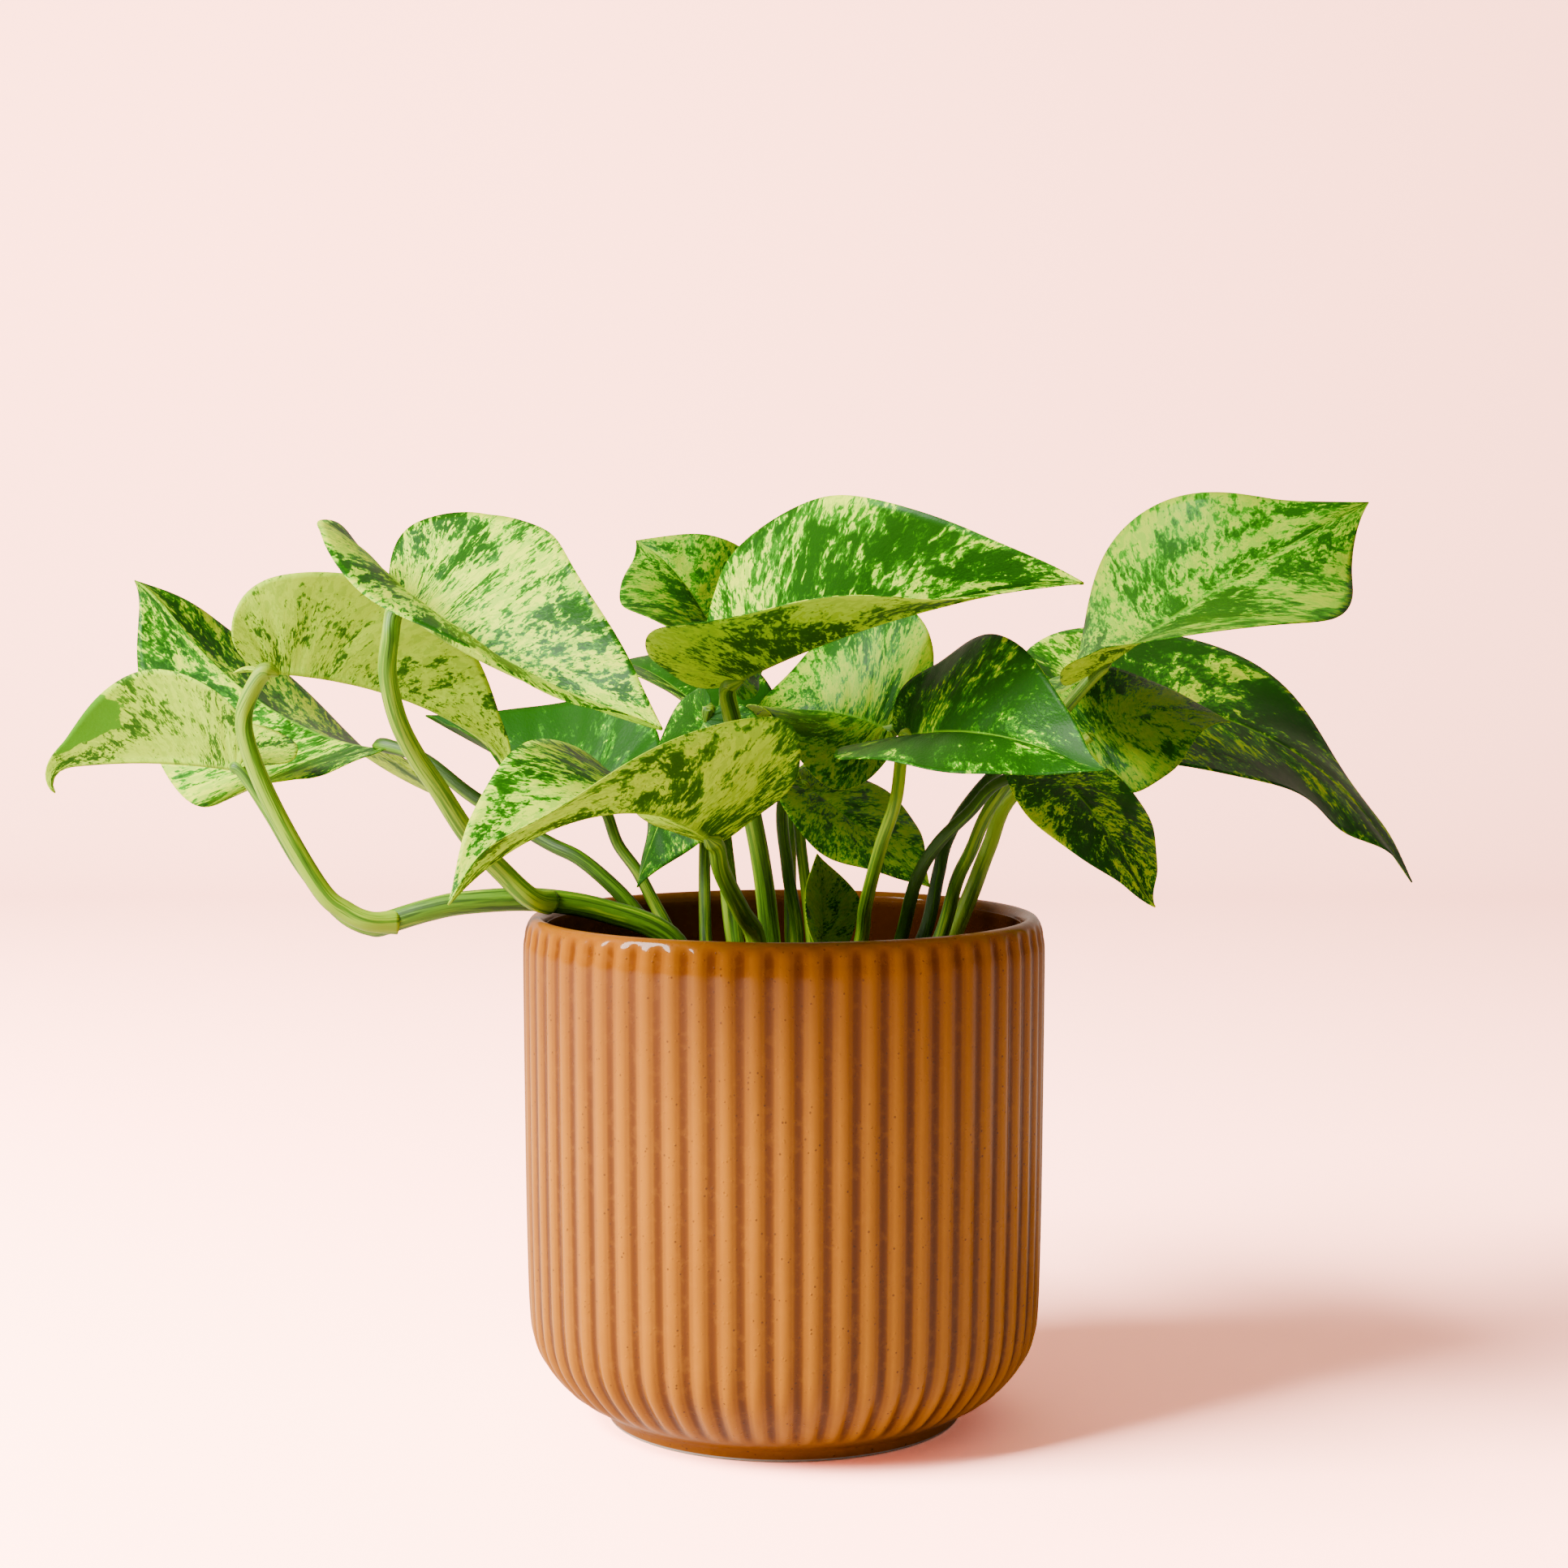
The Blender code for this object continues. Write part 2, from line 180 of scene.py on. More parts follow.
def group(name, inputs, outputs):
    """A node group with named inputs and outputs; returns its tree, entry and exit."""
    tree = bpy.data.node_groups.new(name, "ShaderNodeTree")
    kinds = {"C": "NodeSocketColor", "F": "NodeSocketFloat"}
    for title, kind in inputs:
        tree.interface.new_socket(title, in_out="INPUT", socket_type=kinds[kind])
    for title, kind in outputs:
        tree.interface.new_socket(title, in_out="OUTPUT", socket_type=kinds[kind])
    return tree, tree.nodes.new("NodeGroupInput"), tree.nodes.new("NodeGroupOutput")


# %% [markdown]
# ## The blades
#
# A pothos blade is a flat heart with a short drip tip. Its side veins leave the midrib
# and sweep forward. The grid follows that: a row joins one point of the midrib to the
# margin on both sides, so it runs like a side vein, and the marbling can follow the
# rows. The blade is posed by bending the midrib (droop, sweep, hook), rolling it, and
# folding or curling each half. The same pose numbers as the solid model are used, so
# each blade lies where its solid lies.

# %% Pose of every blade
# base of the midrib, heading and pitch there, their change towards the tip, roll about
# the midrib, length, width, and the fold and curl of the left and right halves
BLADES = {
    "leaf_far_left": dict(base=(-158, 5, 188), heading=150, pitch=5, droop=15, sweep=15,
                          roll=30, twist=-10, length=74, width=61, fold=(35, 45), hook=130,
                          lobe=17, tip=74),
    "leaf_left_high": dict(base=(-122, 46, 192), heading=130, pitch=0, droop=-62, sweep=38,
                           roll=0, twist=-60, length=124, width=89, fold=(-13, -38), hook=35,
                           lobe=11, tip=87),
    "leaf_left_arch": dict(base=(-147, -15, 217), heading=7, pitch=-4, droop=39, sweep=17,
                           roll=-26, twist=7, length=81, width=66, fold=(23, 41), hook=70,
                           tip=72),
    "leaf_left_top": dict(base=(-105, -45, 235), heading=-54, pitch=-21, droop=-7, sweep=30,
                          roll=-12, twist=42, length=102, width=78, fold=(60, 53),
                          curl=(0, -58), lobe=32, tip=91),
    "leaf_under_left": dict(base=(-54, 33, 174), heading=130, pitch=15, droop=-10, sweep=25,
                            roll=-25, twist=15, length=81, width=66, fold=(40, 32)),
    "leaf_front": dict(base=(-19, -53, 171), heading=245, pitch=28, droop=77, sweep=-48,
                       roll=46, twist=-24, length=98, width=81, fold=(0, 65), lobe=8),
    "leaf_back_left": dict(base=(-17, 40, 214), heading=153, pitch=73, droop=52, sweep=-15,
                           roll=15, twist=-65, length=57, width=69, fold=(10, 5)),
    "leaf_top_centre": dict(base=(-16, -14, 213), heading=-45, pitch=20, droop=13, sweep=18,
                            roll=22, twist=36, length=120, width=80, fold=(55, 46), hook=10,
                            lobe=13, tip=85),
    "leaf_centre_right": dict(base=(33, -35, 199), heading=-56, pitch=9, droop=33, sweep=13,
                              roll=26, twist=26, length=78, width=57, fold=(34, 19), hook=-25,
                              tip=75),
    "leaf_pale_back": dict(base=(31, 12, 199), heading=157, pitch=22, droop=48, sweep=0,
                           roll=-56, twist=63, length=50, width=73, fold=(22, 31), hook=-25),
    "leaf_hanging": dict(base=(6, -1, 184), heading=-22, pitch=-35, droop=0, sweep=-12,
                         roll=14, twist=18, length=49, width=48, fold=(-5, 9)),
    "leaf_inner": dict(base=(11, -2, 134), heading=125, pitch=95, droop=22, sweep=-5,
                       roll=37, twist=-32, length=30, width=35, fold=(17, 9)),
    "leaf_right_high": dict(base=(88, -16, 217), heading=3, pitch=35, droop=13, sweep=28,
                            roll=-4, twist=61, length=100, width=109, fold=(2, 8), tip=69),
    "leaf_right_droop": dict(base=(94, 50, 207), heading=17, pitch=0, droop=64, sweep=-5,
                             roll=30, twist=0, length=131, width=87, fold=(4, 3), hook=-10,
                             tip=85),
    "leaf_right_mid": dict(base=(88, 12, 196), heading=3, pitch=33, droop=60, sweep=5,
                           roll=28, twist=-27, length=46, width=58, fold=(12, -18), hook=-15),
    "leaf_right_low": dict(base=(75, -26, 190), heading=-46, pitch=-35, droop=30, sweep=12,
                           roll=4, twist=13, length=51, width=51, fold=(-7, 6), hook=-28),
    "leaf_grey_back": dict(base=(-19, 62, 197), heading=130, pitch=30, droop=30, sweep=-17,
                           roll=14, twist=-31, length=72, width=56, fold=(17, 20)),
    "leaf_behind_front": dict(base=(-22, 6, 204), heading=190, pitch=-63, droop=10, sweep=-13,
                              roll=-31, twist=5, length=55, width=50, fold=(-22, -12)),
    "leaf_upright_back": dict(base=(2, 47, 199), heading=73, pitch=45, droop=18, sweep=0,
                              roll=-30, twist=-17, length=48, width=34, fold=(1, 14)),
}
LOBE_BACK, TIP_FULLNESS = 20, 80
print("blades:", len(BLADES))

# %% The blade as a function of two parameters
def cubic(points, t):
    """Cubic Bezier curve: the four points weighted by the Bernstein polynomials of t."""
    a, b, c, d = (np.array(p, float) for p in points)
    t = t[:, None]
    return (1 - t)**3 * a + 3 * (1 - t)**2 * t * b + 3 * (1 - t) * t * t * c + t**3 * d


def margin(t, lobe, tip):
    """Half outline in units of (length, half width): a lobe curve, then a tip curve."""
    back = lobe / 100
    shoulder = cubic([(0, 0), (-back, 0.12), (0.03 - back, 0.98), (0.25, 1)],
                     np.clip(2 * t, 0, 1))
    point = cubic([(0.25, 1), (0.60, 1.02), (tip / 100, 0.24), (1, 0)],
                  np.clip(2 * t - 1, 0, 1))
    return np.where((t < 0.5)[:, None], shoulder, point)


def midrib_frame(spec, s):
    """Midrib points with the directions ahead, to the right and up, at stations s.

    Heading and pitch are functions of s, and the midrib is the running sum of the
    direction they give. Side and up are then turned about it by the roll.
    """
    hook = spec.get("hook", 0) * np.clip((s - 0.8) / 0.2, 0, 1)**2
    pitch = np.radians(spec["pitch"] - spec["droop"] * s**1.2 - hook)
    heading = np.radians(spec["heading"] + spec["sweep"] * s)
    ahead = np.stack([np.cos(pitch) * np.cos(heading), np.cos(pitch) * np.sin(heading),
                      np.sin(pitch)], -1)
    steps = (ahead[1:] + ahead[:-1]) / 2 * (s[1] - s[0]) * spec["length"]
    line = np.concatenate([[[0, 0, 0]], np.cumsum(steps, 0)]) + np.array(spec["base"], float)
    side = np.stack([np.sin(heading), -np.cos(heading), 0 * heading], -1)
    up = np.cross(side, ahead)
    roll = np.radians(spec["roll"] + spec["twist"] * s)[:, None]
    return (line, ahead, side * np.cos(roll) - up * np.sin(roll),
            side * np.sin(roll) + up * np.cos(roll))


def blade_sheet(spec, t, v):
    """Middle sheet of a blade on rows t and columns v, with its flat coordinates.

    A point sits at a share of the way from the midrib to the margin. Sideways it
    follows an arc that leaves the midrib at the fold angle and bends by the curl.
    """
    half = spec["width"] / 2
    outline = margin(t, spec.get("lobe", LOBE_BACK), spec.get("tip", TIP_FULLNESS))
    out = np.abs(v)[None, :]
    start = (t**3)[:, None]
    along = start + (outline[:, :1] - start) * out**1.4
    across = outline[:, 1:] * out
    s = np.linspace(0, 1, 81)
    line, ahead, side, up = midrib_frame(spec, s)

    def read(table):
        place = np.clip(along, 0, 1)
        return np.stack([np.interp(place, s, table[:, k]) for k in range(3)], -1)

    centre = read(line) + np.minimum(along, 0)[..., None] * spec["length"] * ahead[0]
    right = (v >= 0)[None, :]
    fold = np.radians(np.where(right, spec["fold"][1], spec["fold"][0]))
    bend = spec.get("curl", (0, 0))
    curl = np.radians(np.where(right, bend[1], bend[0]))
    curl = np.where(np.abs(curl) < 0.001, 0.001, curl)
    lateral = half * (np.sin(fold + curl * across) - np.sin(fold)) / curl
    lift = half * (np.cos(fold) - np.cos(fold + curl * across)) / curl
    lateral = lateral * np.where(right, 1, -1)
    points = centre + read(side) * lateral[..., None] + read(up) * lift[..., None]
    return points, along, across


# %% [markdown]
# A real blade has body: about half a millimetre of it in the middle and less at the
# margin, a groove over the midrib, a rounded midrib underneath, shallow quilting
# between the side veins and a margin that waves a little. So the blade is made as a
# closed skin. Its columns run over the top from left to right and back underneath.

# %% The closed skin of one blade
BLADE_ROWS = 84
BLADE_COLUMNS = 23          # on each half of one face
THICK = 0.5
VEIN_PAIRS = 9


def blade_skin(spec, number):
    """Top and bottom faces of a blade as one ring of columns per row.

    top = sheet + normal * (half thickness - groove + quilting), and
    bottom = sheet - normal * (half thickness + midrib), with the half thickness
    falling towards the margin. The margin waves as a sine of the row.
    """
    t = 0.006 + 0.992 * np.linspace(0, 1, BLADE_ROWS)
    k = np.linspace(-1, 1, 2 * BLADE_COLUMNS + 1)
    v = np.sign(k) * np.abs(k)**1.35
    sheet, along, across = blade_sheet(spec, t, v)
    rows = np.gradient(sheet, axis=0)
    columns = np.gradient(sheet, axis=1)
    normal = np.cross(columns, rows)
    normal /= np.maximum(np.linalg.norm(normal, axis=-1, keepdims=True), 1e-9)
    half = spec["width"] / 2
    out = np.abs(v)[None, :]
    tt = t[:, None]
    phase = 1.7 * number
    scale = spec["length"] / 100
    wave = (1.5 * scale * out**3 * np.sin(2 * math.pi * (2.3 * tt + 0.13 * phase)
                                          + np.where(v > 0, 0.9, 0)[None, :])
            + 0.7 * scale * out**2 * np.sin(2 * math.pi * (4.1 * tt + 0.3 * phase)))
    swell = 0.9 * scale * np.sin(3.1 * along + phase) * np.sin(2.6 * across + 0.6 * phase)
    ends = np.clip(tt / 0.25, 0, 1) * np.clip((1 - tt) / 0.15, 0, 1)
    sheet = sheet + normal * ((wave + swell * out) * ends)[..., None]
    near = across * half
    quilt = 0.16 * np.sin(2 * math.pi * VEIN_PAIRS * tt) * np.sin(math.pi * out**0.8) * ends
    groove = 0.28 * np.exp(-(near / 1.0)**2) * ends
    rib = 0.75 * (1 - 0.8 * np.clip(along, 0, 1)) * np.exp(-(near / 1.3)**2)
    body = THICK / 2 * (1 - 0.55 * out**3) + 0 * tt
    top = sheet + normal * (body - groove + quilt)[..., None]
    bottom = sheet - normal * (body + rib * np.clip(tt / 0.05, 0, 1) - quilt)[..., None]
    points = np.concatenate([top, bottom[:, ::-1]], 1)
    flow = np.stack(np.broadcast_arrays(tt, v[None, :]), -1)
    return points, {"flow": np.concatenate([flow, flow[:, ::-1]], 1)}


print("points in a blade's skin:", BLADE_ROWS * 2 * (2 * BLADE_COLUMNS + 1))


# %% [markdown]
# ## Marbling
#
# The green of a marble queen is broken up as if it had been combed along the side
# veins: broad patches, then streaks, then flecks. Three noises do this, each read in
# the blade's own flow coordinates (row, column), squeezed across the rows and drawn
# out along them. Adding them and cutting the sum at a level gives crisp green islands
# in cream. The level is the blade's share of green, so one group serves all blades. A
# fourth noise, the mist, tints parts of the cream.

# %% The marbling group
def marbling_group():
    """green where 0.80 * patch + 0.90 * streak + 0.74 * fleck > 1.52 - 0.60 * share."""
    tree, given, result = group(
        "marbling",
        [("Green share", "F"), ("Seed", "F"), ("Deep green", "C"), ("Light green", "C"),
         ("Cream", "C"), ("Between", "C")],
        [("Color", "C"), ("Green", "F"), ("Height", "F")])
    flow = put(tree, "ShaderNodeUVMap", uv_map="flow").outputs[0]
    parts = put(tree, "ShaderNodeSeparateXYZ", {0: flow})
    row, column = parts.outputs[0], parts.outputs[1]
    out = maths(tree, "ABSOLUTE", column)
    half = maths(tree, "SIGN", column)
    seed = maths(tree, "ADD", given.outputs["Seed"], maths(tree, "MULTIPLY", half, 3.7))
    bow = maths(tree, "ADD", row, maths(tree, "MULTIPLY", out, 0.03))

    def combed(across, outward, shift, detail, distortion):
        where = put(tree, "ShaderNodeCombineXYZ",
                    {0: maths(tree, "MULTIPLY", bow, across),
                     1: maths(tree, "MULTIPLY", out, outward),
                     2: maths(tree, "ADD", seed, shift)}).outputs[0]
        return noise(tree, where, 1.0, detail, 0.6, distortion)

    patch = combed(7.0, 1.8, 0.0, 2.0, 0.5)
    streak = combed(44.0, 4.6, 11.0, 6.0, 0.9)
    fleck = combed(140.0, 17.0, 23.0, 5.0, 0.7)
    total = maths(tree, "ADD", maths(tree, "MULTIPLY", patch, 0.80),
                  maths(tree, "ADD", maths(tree, "MULTIPLY", streak, 0.90),
                        maths(tree, "MULTIPLY", fleck, 0.74)))
    level = maths(tree, "SUBTRACT", 1.52, maths(tree, "MULTIPLY", given.outputs["Green share"],
                                                 0.60))
    over = maths(tree, "SUBTRACT", total, level)
    green = spread(tree, over, -0.002, 0.008)
    mist = combed(74.0, 9.0, 57.0, 5.0, 0.6)
    veil = maths(tree, "MAXIMUM", spread(tree, over, -0.09, 0.0),
                 maths(tree, "MULTIPLY", spread(tree, mist, 0.48, 0.56), 0.55))
    deep = spread(tree, maths(tree, "ADD", over, maths(tree, "MULTIPLY", patch, 0.35)),
                  0.17, 0.34)
    pale = blend(tree, veil, given.outputs["Cream"], given.outputs["Between"])
    dark = blend(tree, deep, given.outputs["Light green"], given.outputs["Deep green"])
    colour = blend(tree, green, pale, dark)
    midrib = maths(tree, "SUBTRACT", 1.0, spread(tree, out, 0.004, 0.03))
    colour = blend(tree, maths(tree, "MULTIPLY", midrib, 0.55), colour,
                   given.outputs["Between"])
    vein = maths(tree, "SINE", maths(tree, "MULTIPLY", bow, 2 * math.pi * VEIN_PAIRS * 2))
    grain = combed(160.0, 26.0, 41.0, 2.0, 0.0)
    height = maths(tree, "ADD", maths(tree, "MULTIPLY", vein, 0.22),
                   maths(tree, "ADD", maths(tree, "MULTIPLY", grain, 0.55),
                         maths(tree, "MULTIPLY", green, 0.12)))
    tree.links.new(colour, result.inputs["Color"])
    tree.links.new(green, result.inputs["Green"])
    tree.links.new(height, result.inputs["Height"])
    return tree


MARBLING = marbling_group()
print("marbling nodes:", len(MARBLING.nodes))

# %% Leaf colours
CREAM = (0.64, 0.82, 0.008, 1)
LIME = (0.28, 0.42, 0.004, 1)
LIME_BETWEEN = (0.12, 0.34, 0.004, 1)
BETWEEN = (0.21, 0.54, 0.006, 1)
LIGHT_GREEN = (0.032, 0.21, 0.002, 1)
DEEP_GREEN = (0.009, 0.070, 0.001, 1)
UNDER_PALE = (0.48, 0.74, 0.006, 1)
UNDER_BETWEEN = (0.27, 0.50, 0.005, 1)
UNDER_GREEN = (0.08, 0.24, 0.004, 1)
UNDER_DEEP = (0.025, 0.10, 0.002, 1)
SOLID_GREEN = (0.075, 0.27, 0.001, 1)
# a blade is this many times as long as it is wide from midrib to margin
STRETCH = 2.3


def leaf_skin(name, share, seed, colours, roughness, coat, solid=None):
    """A blade's face: marbled colour, fine cell grain, and a waxy or a matte finish.

    solid is the place of a solid patch: green where distance + 0.30 * noise < 0.40.
    """
    made, tree, body = shader(name, Specular_IOR_Level=0.08, Coat_Weight=coat,
                              Coat_Roughness=0.30, Subsurface_Weight=0.12,
                              Subsurface_Scale=0.002)
    body.inputs["Subsurface Radius"].default_value = (0.6, 1.0, 0.25)
    marks = put(tree, "ShaderNodeGroup", node_tree=MARBLING)
    for title, value in zip(("Deep green", "Light green", "Cream", "Between"), colours):
        marks.inputs[title].default_value = value
    marks.inputs["Green share"].default_value = share
    marks.inputs["Seed"].default_value = seed
    colour = marks.outputs["Color"]
    if solid:
        flow = put(tree, "ShaderNodeUVMap", uv_map="flow").outputs[0]
        flow = put(tree, "ShaderNodeMapping", {0: flow, "Scale": (STRETCH, 1, 1)}).outputs[0]
        centre = (solid[0] * STRETCH, solid[1], 0)
        away = put(tree, "ShaderNodeVectorMath", {0: flow, 1: centre},
                   operation="DISTANCE").outputs["Value"]
        rag = maths(tree, "MULTIPLY", noise(tree, flow, 5.0, 4.0), 0.30)
        ragged = maths(tree, "ADD", away, rag)
        inside = maths(tree, "SUBTRACT", 1.0, spread(tree, ragged, 0.40, 0.412))
        colour = blend(tree, inside, colour, SOLID_GREEN)
    tree.links.new(colour, body.inputs["Base Color"])
    shine = put(tree, "ShaderNodeMapRange", {0: marks.outputs["Green"], 3: roughness + 0.06,
                                             4: roughness - 0.05}).outputs[0]
    tree.links.new(shine, body.inputs["Roughness"])
    bump = put(tree, "ShaderNodeBump", {"Strength": 0.45, "Distance": 0.0005,
                                        "Height": marks.outputs["Height"]})
    tree.links.new(bump.outputs[0], body.inputs["Normal"])
    return made


UPPER = (DEEP_GREEN, LIGHT_GREEN, CREAM, BETWEEN)
LIME_UPPER = (DEEP_GREEN, LIGHT_GREEN, LIME, LIME_BETWEEN)
LIME_BLADES = ("leaf_right_high", "leaf_pale_back", "leaf_hanging", "leaf_inner",
               "leaf_right_mid", "leaf_upright_back", "leaf_back_left")
UNDER = (UNDER_DEEP, UNDER_GREEN, UNDER_PALE, UNDER_BETWEEN)
print("blades with lime instead of cream:", len(LIME_BLADES))

# %% Grow every blade
# how green the top and the underside of each blade are, from 0 for all cream
GREENNESS = {
    "leaf_far_left": (0.44, 0.38), "leaf_left_high": (0.62, 0.45),
    "leaf_left_arch": (0.40, 0.36), "leaf_left_top": (0.42, 0.40),
    "leaf_under_left": (0.96, 0.92), "leaf_front": (0.45, 0.50),
    "leaf_back_left": (0.55, 0.45), "leaf_top_centre": (0.63, 0.40),
    "leaf_centre_right": (0.80, 0.40), "leaf_pale_back": (0.50, 0.38),
    "leaf_hanging": (0.50, 0.40), "leaf_inner": (0.38, 0.30),
    "leaf_right_high": (0.52, 0.40), "leaf_right_droop": (0.70, 0.50),
    "leaf_right_mid": (0.48, 0.40), "leaf_right_low": (0.58, 0.45),
    "leaf_grey_back": (0.74, 0.50), "leaf_behind_front": (0.80, 0.50),
    "leaf_upright_back": (0.40, 0.30),
}
# one underside has a solid green patch: where it sits, along and across the blade
SOLID_PATCH = {"leaf_far_left": (0.78, -0.90)}

for number, (node, spec) in enumerate(BLADES.items()):
    points, layers = blade_skin(spec, number)
    blade = surface(node.replace("leaf", "blade"), points, ring=True, caps=(True, True),
                    layers=layers)
    top_share, under_share = GREENNESS[node]
    seed = 1.3 + 2.9 * number
    blade.data.materials.append(leaf_skin(node + "_top", top_share, seed,
                                          LIME_UPPER if node in LIME_BLADES else UPPER,
                                          0.46, 0.015))
    blade.data.materials.append(leaf_skin(node + "_under", under_share, seed + 0.2, UNDER,
                                          0.55, 0.0, SOLID_PATCH.get(node)))
    across = points.shape[1]
    is_under = np.zeros(len(blade.data.polygons), dtype=np.int32)
    column = np.arange(len(is_under)) % across
    is_under[column >= across // 2] = 1
    blade.data.polygons.foreach_set("material_index", is_under)
    settle(blade, node)
print("blade triangles:", sum(len(p.vertices) - 2 for p in blade.data.polygons), "each")

# %% [markdown]
# ## Stalks and the vine
#
# A pothos stalk is a rod with a shallow channel on its upper side. It is thickest at
# its foot, and swells again in a short joint just under the blade. It could be a curve
# object with a bevel, but a bevel has the same round section everywhere. So a section
# is carried along a smooth path, and its radius and channel change as it goes.

# %% Paths of the stalks
STALKS = {
    "vine_left": dict(path=[(-24, -6, None), (-33, -6, 140), (-52, -8, 148), (-71, -12, 151.5),
                            (-90, -15, 151), (-101, -16, 149), (-114, -16, 145)],
                      radius=(3.6, 3.3)),
    "stalk_left_arch": dict(path=[(-117.5, -19, 146), (-124, -19, 149), (-131, -19, 155),
                                  (-143, -17, 175), (-151, -16, 193), (-153, -15, 205)],
                            leaf="leaf_left_arch", radius=(3.2, 2.3)),
    "stalk_far_left": dict(path=[(-117.5, -12, 143), (-127, -9, 147), (-139, -4, 160),
                                 (-149, 1, 175)],
                           leaf="leaf_far_left", radius=(2.3, 1.7)),
    "stalk_left_top": dict(path=[(-72, -19, 153), (-79, -22, 160), (-88, -28, 171),
                                 (-96, -34, 185), (-102, -38, 195), (-106, -42, 205),
                                 (-108, -45, 217), (-107, -46, 227)],
                           leaf="leaf_left_top", radius=(3.3, 2.3)),
    "stalk_left_high": dict(path=[(-30, 8, None), (-37, 8, 139), (-42, 9, 144), (-49, 10, 152),
                                  (-60, 13, 161), (-71, 18, 166), (-93, 30, 178),
                                  (-109, 39, 189)],
                            leaf="leaf_left_high", above=True, radius=(2.7, 1.9)),
    "stalk_under_left": dict(path=[(-26, 20, None), (-34, 22, 138), (-39, 25, 147),
                                   (-44, 28, 156), (-50, 31, 164)],
                             leaf="leaf_under_left", radius=(2.2, 1.7)),
    "stalk_front": dict(path=[(-6, -22, None), (-8, -25, 142), (-12, -36, 151),
                              (-17, -48, 163)],
                        leaf="leaf_front", radius=(3.3, 2.2)),
    "stalk_back_left": dict(path=[(-12, 28, None), (-16, 29, 138), (-19, 38, 174)],
                            leaf="leaf_back_left", radius=(2.2, 1.7)),
    "stalk_top_centre": dict(path=[(-3, -10, None), (-4, -12, 141), (-7, -14, 165),
                                   (-14, -16, 200)],
                             leaf="leaf_top_centre", radius=(3.4, 2.3)),
    "stalk_centre_right": dict(path=[(18, -18, None), (22, -22, 142), (23, -27, 152),
                                     (27, -33, 169), (31, -36, 182)],
                               leaf="leaf_centre_right", radius=(2.2, 1.7)),
    "stalk_pale_back": dict(path=[(2, 26, None), (4, 28, 137), (1, 29, 157), (0, 28, 178),
                                  (11, 20, 190)],
                            leaf="leaf_pale_back", radius=(2.2, 1.6)),
    "stalk_hanging": dict(path=[(9, 12, None), (8, 12, 139), (5, 8, 165), (4, 3, 177)],
                          leaf="leaf_hanging", radius=(2.0, 1.4)),
    "stalk_right_high": dict(path=[(38, 0, None), (46, 0, 141), (50, -2, 156), (54, -4, 165),
                                   (60, -7, 179), (75, -13, 200)],
                             leaf="leaf_right_high", radius=(2.3, 1.7)),
    "stalk_right_droop": dict(path=[(34, 17, None), (42, 18, 139), (46, 24, 155), (49, 30, 165),
                                    (56, 37, 176), (68, 43, 188)],
                              leaf="leaf_right_droop", radius=(2.3, 1.7)),
    "stalk_right_mid": dict(path=[(43, 8, None), (50, 7, 140), (55, 7, 152), (60, 8, 165),
                                  (67, 10, 180)],
                            leaf="leaf_right_mid", radius=(3.0, 1.9)),
    "stalk_right_low": dict(path=[(27, -18, None), (33, -21, 141), (37, -26, 158),
                                  (43, -29, 169), (52, -29, 178), (60, -28, 186)],
                            leaf="leaf_right_low", radius=(2.2, 1.5)),
    "stalk_behind_front": dict(path=[(-12, 10, None), (-14, 11, 140), (-18, 14, 175)],
                               leaf="leaf_behind_front", radius=(2.2, 1.5)),
    "stalk_grey_back": dict(path=[(-22, 38, None), (-24, 41, 137), (-24, 57, 173)],
                            leaf="leaf_grey_back", radius=(2.2, 1.6)),
    "stalk_upright_back": dict(path=[(3, 38, None), (2, 40, 137), (2, 45, 173)],
                               leaf="leaf_upright_back", radius=(2.2, 1.6)),
    "stalk_inner": dict(path=[(14, 1, None), (12.5, 0, 127)], leaf="leaf_inner",
                        radius=(1.3, 0.9)),
}
SOIL_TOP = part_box("soil")[1][2] / MM
print("stalks:", len(STALKS), "soil level:", round(SOIL_TOP, 1), "mm")

# %% A section carried along a path
STALK_COLUMNS = 20


def smooth_path(points, between):
    """Catmull-Rom curve: a cubic through the points whose slope follows their chords."""
    points = np.array(points, float)
    ends = np.vstack([2 * points[0] - points[1], points, 2 * points[-1] - points[-2]])
    t = (np.arange(between) / between)[None, :, None]
    a, b, c, d = (ends[k:len(ends) - 3 + k, None, :] for k in range(4))
    path = 0.5 * (2 * b + t * (c - a) + t * t * (2 * a - 5 * b + 4 * c - d)
                  + t**3 * (3 * b - 3 * c + d - a))
    return np.vstack([path.reshape(-1, 3), points[-1]])


def tube(path, radius, channel):
    """Points of a tube: path + radius(s) * section(angle), in a frame that doesn't spin.

    The section is a circle with a notch: r = radius * (1 - channel * exp(-(a / 0.45)^2)),
    where a is the angle from the tube's upper side.
    """
    ahead = np.gradient(path, axis=0)
    ahead /= np.linalg.norm(ahead, axis=1, keepdims=True)
    hint = np.array([0.35, 0.6, 0.72])
    side = np.cross(ahead, hint)
    side /= np.maximum(np.linalg.norm(side, axis=1, keepdims=True), 1e-6)
    up = np.cross(side, ahead)
    angle = np.linspace(0, 2 * math.pi, STALK_COLUMNS, endpoint=False)
    turned = np.angle(np.exp(1j * (angle - math.pi / 2)))
    shape = 1 - channel * np.exp(-(turned / 0.45)**2)
    ring = radius[:, None] * shape[None, :]
    points = (path[:, None, :] + side[:, None, :] * (ring * np.cos(angle))[..., None]
              + up[:, None, :] * (ring * np.sin(angle))[..., None])
    run = np.concatenate([[0], np.cumsum(np.linalg.norm(np.diff(path, axis=0), axis=1))])
    uv = np.stack(np.broadcast_arrays(angle[None, :] / (2 * math.pi), run[:, None] / 100), -1)
    return points, uv


